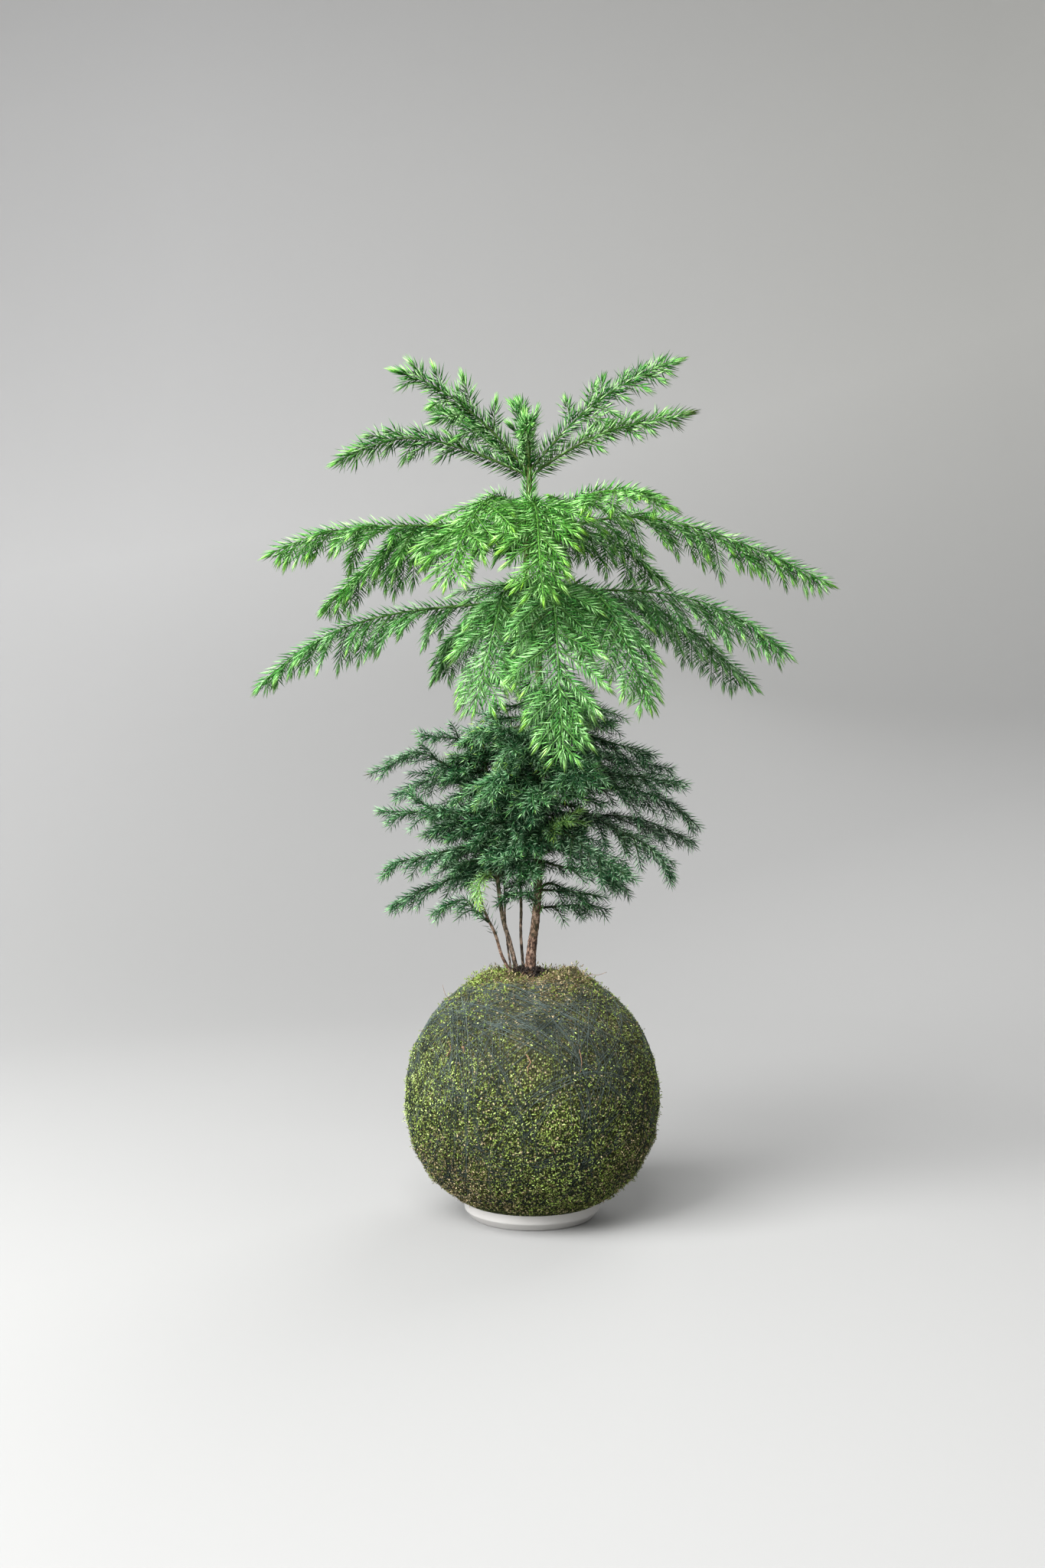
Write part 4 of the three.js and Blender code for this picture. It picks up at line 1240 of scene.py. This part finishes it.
def moss_tufts(corners, settings):
    """Leafy shoots that stand out of the moss and make its outline ragged, longer round the mouth."""
    draw = np.random.default_rng(12)
    count = settings.tufts
    roots, normals = skin_spots(corners, count, draw)
    lean = unit(np.cross(normals, draw.normal(size=(count, 3))))
    tilt = np.radians(draw.uniform(*TUFTS["lean"], count))[:, None]
    stalks = normals * np.cos(tilt) + lean * np.sin(tilt)
    tone = moss_tone(roots, draw, TUFTS["tone"])
    longer = np.where(roots[:, 2] > TUFTS["edge"], TUFTS["longer"], 1)
    sizes = draw.uniform(*TUFTS["length"], count) * longer
    leaf = moss_leaf()
    tuft = Gathering()
    side = crossed(stalks, normals + lean * 0.3)
    back = np.cross(stalks, side)
    for k in range(TUFTS["leaves"]):
        spoke = side * math.cos(k * GOLDEN) + back * math.sin(k * GOLDEN)
        opening = math.radians(60 - 8 * k)
        ahead = stalks * math.cos(opening) + spoke * math.sin(opening)
        places = roots + stalks * (sizes * (0.1 + 0.24 * k))[:, None]
        marks = np.clip(tone + draw.normal(0, TUFTS["leaf_tone"], count), 0, 1)[:, None]
        tuft.stamp(leaf, places, ahead, stalks - ahead * 0.5, sizes * (0.8 - 0.05 * k), marks)
    return tuft.piece(("tone",), smooth=False)


# Litter on the moss, in millimetres: hairs of root by their points, then scraps of twig by the points that
# they lie on across the front of the ball, sideways and upwards, and their radius
LITTER_HAIRS = [
    ((34, -2, 166), (41, -4, 170), (47, -5, 170), (53, -6, 172)),
    ((17, -4, 168), (17.5, -4, 172), (16.5, -4, 176)),
    ((-56, -10, 152), (-61, -12, 157), (-63, -12, 164)),
    ((-30, -22, 166), (-34, -25, 171), (-35, -25, 175)),
]
LITTER_SCRAPS = [
    (((-4.5, 127), (-1.5, 122), (-3.5, 119), (-3, 115)), 0.5),
    (((31, 129), (32.5, 121), (31.5, 115)), 0.35),
    (((-47, 129), (-45.5, 126)), 0.9),
    (((-58, 122), (-55, 127), (-56.5, 131)), 0.45),
    (((12, 69), (15, 63)), 0.4),
]

# Short dry stalks, in millimetres: how many, how far from the axis, their lengths and radii, and how far
# over the ball's surface they start, up to a highest place; then the radius of a hair and how far out a
# scrap lies
STALKS = {
    "count": 170, "reach": (17, 42), "length": (2, 7), "radius": (0.14, 0.34), "lift": (-1, 2),
    "highest": 170.5,
}
HAIR_RADIUS = 0.22
SCRAP_LIFT = 0.4


def litter_material(settings):
    """Dry reddish twigs and roots."""
    shader = Shader("litter", 0.9)
    patches = shader.noise(700, 3)
    shader.into("Base Color", shader.ramp(patches, [(0.35, settings.brown), (0.65, settings.twigs)]))
    shader.bump(shader.noise(1800, 2), 0.0003, 0.8)
    return shader.material


def moss_litter():
    """Hairs and scraps of twig that lie on the moss, with short dry stalks round the mouth."""
    draw = np.random.default_rng(5)
    heap = Gathering()

    def lay(points, radius):
        """A crooked, tapered scrap through some points."""
        line = np.array(points, float)
        steps = np.linspace(0, len(line) - 1, 4 * len(line))
        line = np.stack([np.interp(steps, np.arange(len(line)), line[:, k]) for k in range(3)], axis=-1)
        line[1:-1] += draw.normal(0, radius * 0.4, line[1:-1].shape)
        points, faces = tube(line, radius * np.linspace(1.1, 0.5, len(line)), 4, np.array([0.3, 1, 0.2]))
        heap.add(points, faces, np.zeros((len(points), 1)))

    for points in LITTER_HAIRS:
        lay(points, HAIR_RADIUS)
    for points, radius in LITTER_SCRAPS:
        lay([(x, -math.sqrt(ball_radius(z) ** 2 - x * x) - SCRAP_LIFT, z) for x, z in points], radius)
    for _ in range(STALKS["count"]):
        turn = draw.uniform(0, math.tau)
        reach = draw.uniform(*STALKS["reach"])
        surface = BALL["waist"] + BALL["crown"] * math.sqrt(1 - (reach / BALL["radius"]) ** 2)
        height = min(surface + draw.uniform(*STALKS["lift"]), STALKS["highest"])
        start = np.array([reach * math.cos(turn), reach * math.sin(turn), height])
        way = unit(draw.normal(size=3) * (1, 1, 0.35) + (0, 0, 0.15))
        lay([start, start + way * draw.uniform(*STALKS["length"])], draw.uniform(*STALKS["radius"]))
    return heap.piece(("tone",))


class KOKEDAMA_OT_moss(bpy.types.Operator):
    """Makes the moss: a lumpy skin with a mouth for the stems, covered in leaves, tufts and litter"""
    bl_idname = "kokedama.moss"
    bl_label = "Moss"

    def execute(self, context):
        settings = context.scene.kokedama.moss
        material = moss_material(settings)
        skin = moss_skin()
        corners = skin_corners()
        settle(moss_leaves(corners, settings, True), "moss_leaves_upper", "moss", material)
        settle(moss_leaves(corners, settings, False), "moss_leaves_lower", "moss", material)
        settle(moss_tufts(corners, settings), "moss_tufts", "moss", material)
        settle(moss_litter(), "moss_litter", "moss", litter_material(settings))
        settle(skin, "moss_skin", "moss", bed_material(settings), "moss_jacket")
        return {"FINISHED"}


# Soil

# Crumbs of soil, in millimetres: their sizes, and the low dome that they are heaped in, by its radius, its
# heights at the edge and in the middle, how deep they lie in it and how far its middle is to the left
CRUMBS = {"size": (0.7, 2.4), "reach": 23, "low": 168, "top": 177, "depth": 3, "aside": 3}


def soil_material(settings):
    """Dark moist soil with a few paler grains."""
    shader = Shader("soil", 0.95)
    grains = shader.noise(900, 4)
    colours = shader.ramp(grains, [(0.35, settings.dark), (0.58, settings.damp), (0.75, settings.pale)])
    shader.into("Base Color", colours)
    shader.bump(grains, 0.0008, 1.0)
    shader.dull(0.2)
    return shader.material


def crumb():
    """One crumb of soil, a unit across: a ball pressed out of round."""
    piece = modelled("ico_sphere", subdivisions=1, radius=0.5)
    edit(piece)
    bpy.ops.transform.vertex_random(offset=0.12, seed=4)
    bpy.ops.transform.resize(value=(1.1, 0.9, 0.75))
    return shape_of(shaped(piece, 30))


class KOKEDAMA_OT_soil(bpy.types.Operator):
    """Finishes the soil and heaps crumbs on it between the stems"""
    bl_idname = "kokedama.soil"
    bl_label = "Soil"

    def execute(self, context):
        settings = context.scene.kokedama.soil
        material = soil_material(settings)
        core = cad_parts["soil_ball"]
        core.data.materials.clear()
        core.data.materials.append(material)
        draw = np.random.default_rng(3)
        count = settings.crumbs
        reach = CRUMBS["reach"] * np.sqrt(draw.uniform(0, 1, count))
        turn = draw.uniform(0, math.tau, count)
        size = draw.uniform(*CRUMBS["size"], count)
        arch = np.cos(reach / CRUMBS["reach"] * math.pi / 2)
        dome = CRUMBS["low"] + (CRUMBS["top"] - CRUMBS["low"]) * arch
        level = dome - draw.uniform(0, 1, count) ** 2 * CRUMBS["depth"] - size / 2
        places = np.stack([reach * np.cos(turn) - CRUMBS["aside"], reach * np.sin(turn), level], axis=1)
        along, lean = draw.normal(size=(count, 3)), draw.normal(size=(count, 3))
        heap = Gathering()
        heap.stamp(crumb(), places, along, lean, size, np.zeros((count, 1)))
        settle(heap.piece(("tone",), smooth=False), "soil_crumbs", "soil", material)
        return {"FINISHED"}


# Thread

def thread_material(settings):
    """Thin twisted thread, worn pale in places, and lighter towards the top of the ball: partly by wear,
    partly as painted light from above.
    """
    shader = Shader("thread", 0.75)
    faded_and_lit = shader.sum(shader.noise(60, 3), shader.scaled(shader.mark("tone"), -0.25, 0.25))
    # Lighter towards the top of the ball: partly wear, partly painted light from above
    faded_and_lit = shader.sum(faded_and_lit, shader.scaled(shader.along_axis("Z"), -0.2, 0.16, 0.05, 0.15))
    shader.into("Base Color", shader.ramp(faded_and_lit, [(0.35, settings.teal), (0.85, settings.worn_and_lit)]))
    shader.bump(shader.noise(3000, 2), 0.0001, 0.6)
    shader.dull(0.1)
    return shader.material


# How the thread lies, in millimetres and degrees: steep turns run past the mouth and round under the
# ball, and slanting ones ring the mouth, all in short runs of neighbouring turns a little apart. A turn is
# left out if it comes within a margin of the mouth, on the upper part of the ball, or if it is a small
# ring. The lift is how far out the thread lies, by height, and it is sunk in the moss where the ball rests
# in the saucer.
THREAD_LAY = {
    "steep_share": 0.6, "steep_tilt": 24, "steep_reach": (34, 72), "slant": (26, 66), "clear": 37,
    "depth": 52, "run": (2, 7), "apart": 1.5, "margin": 3, "upper": 120, "smallest": 30,
    "lift": ([40, 100, 140, 158], [-0.9, -0.25, 0.15, -0.4]), "sunk_below": 19, "sunk": -2.0,
}


def closed_tube(line, radius):
    """A three-sided tube round a closed line of points."""
    tangents = unit(np.roll(line, -1, axis=0) - np.roll(line, 1, axis=0))
    outward = ball_normals(line)
    across = crossed(tangents, outward)
    angles = np.arange(3) * math.tau / 3
    rings = line[:, None] + radius * (
        across[:, None] * np.cos(angles)[None, :, None] + outward[:, None] * np.sin(angles)[None, :, None])
    count = len(line)
    faces = []
    for k in range(count):
        for i in range(3):
            a, b = k * 3 + i, k * 3 + (i + 1) % 3
            c, d = (k + 1) % count * 3 + i, (k + 1) % count * 3 + (i + 1) % 3
            faces += [(a, d, b), (a, c, d)]
    return rings.reshape(-1, 3), np.array(faces)


def winding(normal, offset, steps=50, furthest=140.0, halvings=26):
    """One turn of thread round the ball: where a plane cuts the moss, in millimetres, found by halving."""
    normal = unit(np.array(normal, float))
    one = unit(np.cross(normal, UP if abs(normal[2]) < 0.9 else np.array([1.0, 0, 0])))
    two = np.cross(normal, one)
    angles = np.arange(steps) * math.tau / steps
    ways = one * np.cos(angles)[:, None] + two * np.sin(angles)[:, None]
    centre = np.array([0, 0, BALL["waist"]]) + normal * offset
    near, far = np.zeros(steps), np.full(steps, furthest)
    for _ in range(halvings):
        half = (near + far) / 2
        places = centre + ways * half[:, None]
        inside = np.linalg.norm(places[:, :2], axis=1) < ball_radius(places[:, 2])
        inside &= np.abs(places[:, 2] - BALL["waist"]) < np.where(
            places[:, 2] > BALL["waist"], BALL["crown"], BALL["belly"])
        near, far = np.where(inside, half, near), np.where(inside, far, half)
    return centre + ways * near[:, None]


class KOKEDAMA_OT_thread(bpy.types.Operator):
    """Winds fine thread round the moss, criss-cross and clear of the mouth"""
    bl_idname = "kokedama.thread"
    bl_label = "Thread"

    def execute(self, context):
        settings = context.scene.kokedama.thread
        draw = np.random.default_rng(29)
        net = Gathering()
        wound = 0
        while wound < settings.windings:
            turn = draw.uniform(0, math.tau)
            steep = draw.uniform() < THREAD_LAY["steep_share"]
            if steep:
                rise = math.radians(draw.uniform(-1, 1) * THREAD_LAY["steep_tilt"])
                reach = draw.uniform(*THREAD_LAY["steep_reach"])
            else:
                rise = math.radians(draw.uniform(*THREAD_LAY["slant"]))
                high = BALL["top"] - BALL["waist"]
                furthest = high * math.sin(rise) - THREAD_LAY["clear"] * math.cos(rise)
                reach = furthest - draw.uniform(0, 1) ** 1.5 * THREAD_LAY["depth"]
            shade = draw.uniform()
            for k in range(draw.integers(*THREAD_LAY["run"])):
                wound += self.wind(
                    net, turn + draw.normal(0, 0.03), rise + draw.normal(0, 0.03),
                    reach + k * THREAD_LAY["apart"], shade + draw.normal(0, 0.15), settings, draw)
        material = thread_material(settings)
        settle(net.piece(("tone",)), "thread_windings", "thread", material, "binding_thread")
        return {"FINISHED"}

    def wind(self, net, turn, rise, reach, shade, settings, draw):
        """Adds one turn of thread, unless it would cross the mouth or be a small ring."""
        normal = (math.cos(turn) * math.cos(rise), math.sin(turn) * math.cos(rise), math.sin(rise))
        line = winding(normal, reach)
        flat, height = np.linalg.norm(line[:, :2], axis=1), line[:, 2]
        crosses = np.any((flat < BALL["mouth"] + THREAD_LAY["margin"]) & (height > THREAD_LAY["upper"]))
        if crosses or np.ptp(height) < THREAD_LAY["smallest"]:
            return False
        lumps = moss_lumps(line)
        lift = np.maximum(lumps * 0.6, lumps - 0.5) + draw.uniform(-0.4, 0.3)
        lift += np.interp(height, *THREAD_LAY["lift"])
        lift = np.where(height < THREAD_LAY["sunk_below"], THREAD_LAY["sunk"], lift)
        line = line + ball_normals(line) * lift[:, None]
        net.add(*closed_tube(line, settings.thickness / MM / 2), np.full((len(line) * 3, 1), shade))
        return True


# Saucer

# Saucer, in millimetres: its wall and floor, the foot's radii as shares of the rim's, and how high the
# foot is rounded and where the slope over it ends; then the fewest degrees of an edge that is rolled
SAUCER = {"wall": 4, "floor": 4.8, "foot": (0.89, 0.91), "foot_edge": 0.4, "slope": 5.5, "edge": 25}


def glaze_material(settings):
    """White satin glaze, very slightly uneven."""
    shader = Shader("white_glaze", 0.5)
    shaded = tuple(part * 0.96 for part in settings.glaze)
    shader.into("Base Color", shader.ramp(shader.noise(60, 3), [(0.3, shaded), (0.7, settings.glaze)]))
    shader.into("Roughness", shader.scaled(shader.noise(120, 3), 0.42, 0.58))
    shader.bump(shader.noise(150, 2), 0.0002, 0.25)
    return shader.material


class KOKEDAMA_OT_saucer(bpy.types.Operator):
    """Turns the glazed saucer with a rounded rim and a soft foot"""
    bl_idname = "kokedama.saucer"
    bl_label = "Saucer"

    def execute(self, context):
        settings = context.scene.kokedama.saucer
        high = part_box("saucer")[1]
        radius, height, inside = high.x, high.z, high.x - SAUCER["wall"] * MM
        foot, heel = [radius * share for share in SAUCER["foot"]]
        floor = SAUCER["floor"] * MM
        piece = turned([
            (0, 0), (foot, 0), (heel, SAUCER["foot_edge"] * MM), (radius, SAUCER["slope"] * MM),
            (radius, height), (inside, height), (inside, floor), (0, floor),
        ], 128)
        rounding = piece.modifiers.new("Rolled edge", "BEVEL")
        rounding.width = settings.rolled
        rounding.segments = 4
        rounding.limit_method = "ANGLE"
        rounding.angle_limit = math.radians(SAUCER["edge"])
        apply_modifier(piece, rounding)
        edit(piece)
        settle(shaped(piece, 30), "saucer_glazed", "white_glaze", glaze_material(settings), "saucer")
        return {"FINISHED"}


# Stage

# Lights, in metres and degrees: their place, the side of the square and the spread, all aimed at one
# place
LIGHTS = {
    "key": ((-1.45, -1.2, 1.45), 1.6, 150), "top": ((-0.35, -1.4, 1.75), 1.1, 150),
    "fill": ((1.5, -0.8, 0.9), 1.3, 150), "back": ((0.8, 1.6, 1.3), 1.4, 130),
}
AIM = (0, 0, 0.3)

# Floor, in metres: two radii that it is flat to, the radius of its curve up into the wall, and the wall's
# height; then the places sideways between which the wall's colours change, painting light and shade, and
# the way upwards and the places along it between which the floor's colour passes into the wall's; that way
# leans to the left, so the lighter wall comes lower there as painted light from the left
FLOOR = {
    "flat": (0.5, 0.9), "curve": 1.9, "top": 3.6, "across": (-2.8, 1.1), "way": (-0.28, 0, 1),
    "up": (0.05, 1.05),
}


class KOKEDAMA_OT_stage(bpy.types.Operator):
    """Sets up the camera, the pale floor and the soft light"""
    bl_idname = "kokedama.stage"
    bl_label = "Stage"

    def execute(self, context):
        settings = context.scene.kokedama.stage
        context.scene.view_settings.view_transform = "Standard"
        lens = bpy.data.cameras.new("photo_camera")
        lens.lens, lens.sensor_width = CAMERA["lens"], CAMERA["sensor"]
        camera = bpy.data.objects.new("photo_camera", lens)
        camera.location, camera.rotation_euler = CAMERA["place"], CAMERA["turn"]
        context.scene.collection.objects.link(camera)
        context.scene.camera = camera
        self.floor(settings)
        for name, (place, size, spread) in LIGHTS.items():
            self.light(name, place, size, getattr(settings, name), spread)
        world = bpy.data.worlds.new("even_sky")
        world.use_nodes = True
        sky = world.node_tree.nodes["Background"].inputs
        sky["Color"].default_value = (1, 1, 1, 1)
        sky["Strength"].default_value = settings.sky
        context.scene.world = world
        return {"FINISHED"}

    def floor(self, settings):
        """A round floor that runs up all round into a wall, in one long curve, coloured with painted light
        and shade.
        """
        (near, reach), curve = FLOOR["flat"], FLOOR["curve"]
        angles = np.linspace(0, math.pi / 2, 48)
        rise = [(reach + curve * math.sin(angle), curve * (1 - math.cos(angle))) for angle in angles]
        piece = turned([(0, 0), (near, 0), *rise, (reach + curve, FLOOR["top"])], 128)
        piece.name = piece.data.name = "floor"
        piece.data.flip_normals()
        shader = Shader("floor", 0.9)
        # Painted light and shade across the wall: dark near the key light, lightest behind the plant,
        # darker to the right
        across = shader.scaled(shader.along_axis("X"), 0.0, 1.0, *FLOOR["across"])
        wall = shader.ramp(across, [
            (0.0, settings.wall_shade_near_key), (0.36, settings.wall), (0.5, settings.wall),
            (1.0, settings.wall_shade),
        ])
        # Painted light from the left: the floor passes into the lighter wall lower on the left
        places = {0: shader.object_coordinates(), 1: FLOOR["way"]}
        upward = shader.node("VectorMath", places, operation="DOT_PRODUCT").outputs["Value"]
        upward = shader.scaled(upward, 0.0, 1.0, *FLOOR["up"])
        shader.into("Base Color", shader.mix(upward, settings.floor, wall))
        piece.data.materials.append(shader.material)
        deselect()

    def light(self, name, place, size, power, spread):
        """A large square light that the camera doesn't see, aimed at the plant."""
        lamp = bpy.data.lights.new(name, "AREA")
        lamp.size, lamp.energy, lamp.spread = size, power, math.radians(spread)
        piece = bpy.data.objects.new(name, lamp)
        piece.location = place
        piece.visible_camera = False
        piece.rotation_euler = (Vector(AIM) - Vector(place)).to_track_quat("-Z", "Y").to_euler()
        bpy.context.scene.collection.objects.link(piece)


class KOKEDAMA_PT_panel(bpy.types.Panel):
    """Lists the steps that dress the plant, and their settings"""
    bl_idname = "KOKEDAMA_PT_panel"
    bl_label = "Kokedama Plant"
    bl_space_type = "VIEW_3D"
    bl_region_type = "UI"
    bl_category = "Kokedama"

    def draw(self, context):
        settings = context.scene.kokedama
        for group in ("stage", "saucer", "moss", "soil", "thread"):
            box = self.layout.box()
            box.operator(f"kokedama.{group}")
            for name in getattr(settings, group).bl_rna.properties.keys():
                if name not in ("rna_type", "name"):
                    box.prop(getattr(settings, group), name)
        box = self.layout.box()
        box.operator("kokedama.stems")
        for name in ("red", "flake", "dark", "grey", "green"):
            box.prop(settings.bark, name)
        box = self.layout.box()
        for tier in TIERS:
            box.operator("kokedama.fronds", text=f"{tier.capitalize()} fronds").tier = tier
        box.operator("kokedama.sprigs")
        for name in ("density", "width"):
            box.prop(settings.needles, name)
        for shade in ("young", "full", "shaded"):
            box.label(text=f"{shade.capitalize()} needles")
            for name in ("old", "grown", "light", "bud", "bloom", "pale", "twig"):
                box.prop(getattr(settings.needles, shade), name)


CLASSES = (
    StageSettings, SaucerSettings, MossSettings, SoilSettings, ThreadSettings, BarkSettings, YoungNeedles,
    FullNeedles, ShadedNeedles, NeedleSettings, KokedamaSettings, KOKEDAMA_OT_stage, KOKEDAMA_OT_saucer,
    KOKEDAMA_OT_moss, KOKEDAMA_OT_soil, KOKEDAMA_OT_thread, KOKEDAMA_OT_stems, KOKEDAMA_OT_fronds,
    KOKEDAMA_OT_sprigs, KOKEDAMA_PT_panel,
)


def register():
    for cls in CLASSES:
        bpy.utils.register_class(cls)
    bpy.types.Scene.kokedama = bpy.props.PointerProperty(type=KokedamaSettings)


def unregister():
    del bpy.types.Scene.kokedama
    for cls in reversed(CLASSES):
        bpy.utils.unregister_class(cls)


def main():
    register()
    bpy.ops.kokedama.stage()
    bpy.ops.kokedama.saucer()
    bpy.ops.kokedama.moss()
    bpy.ops.kokedama.soil()
    bpy.ops.kokedama.thread()
    bpy.ops.kokedama.stems()
    for tier in TIERS:
        bpy.ops.kokedama.fronds(tier=tier)
    bpy.ops.kokedama.sprigs()


if __name__ == "__main__":
    main()
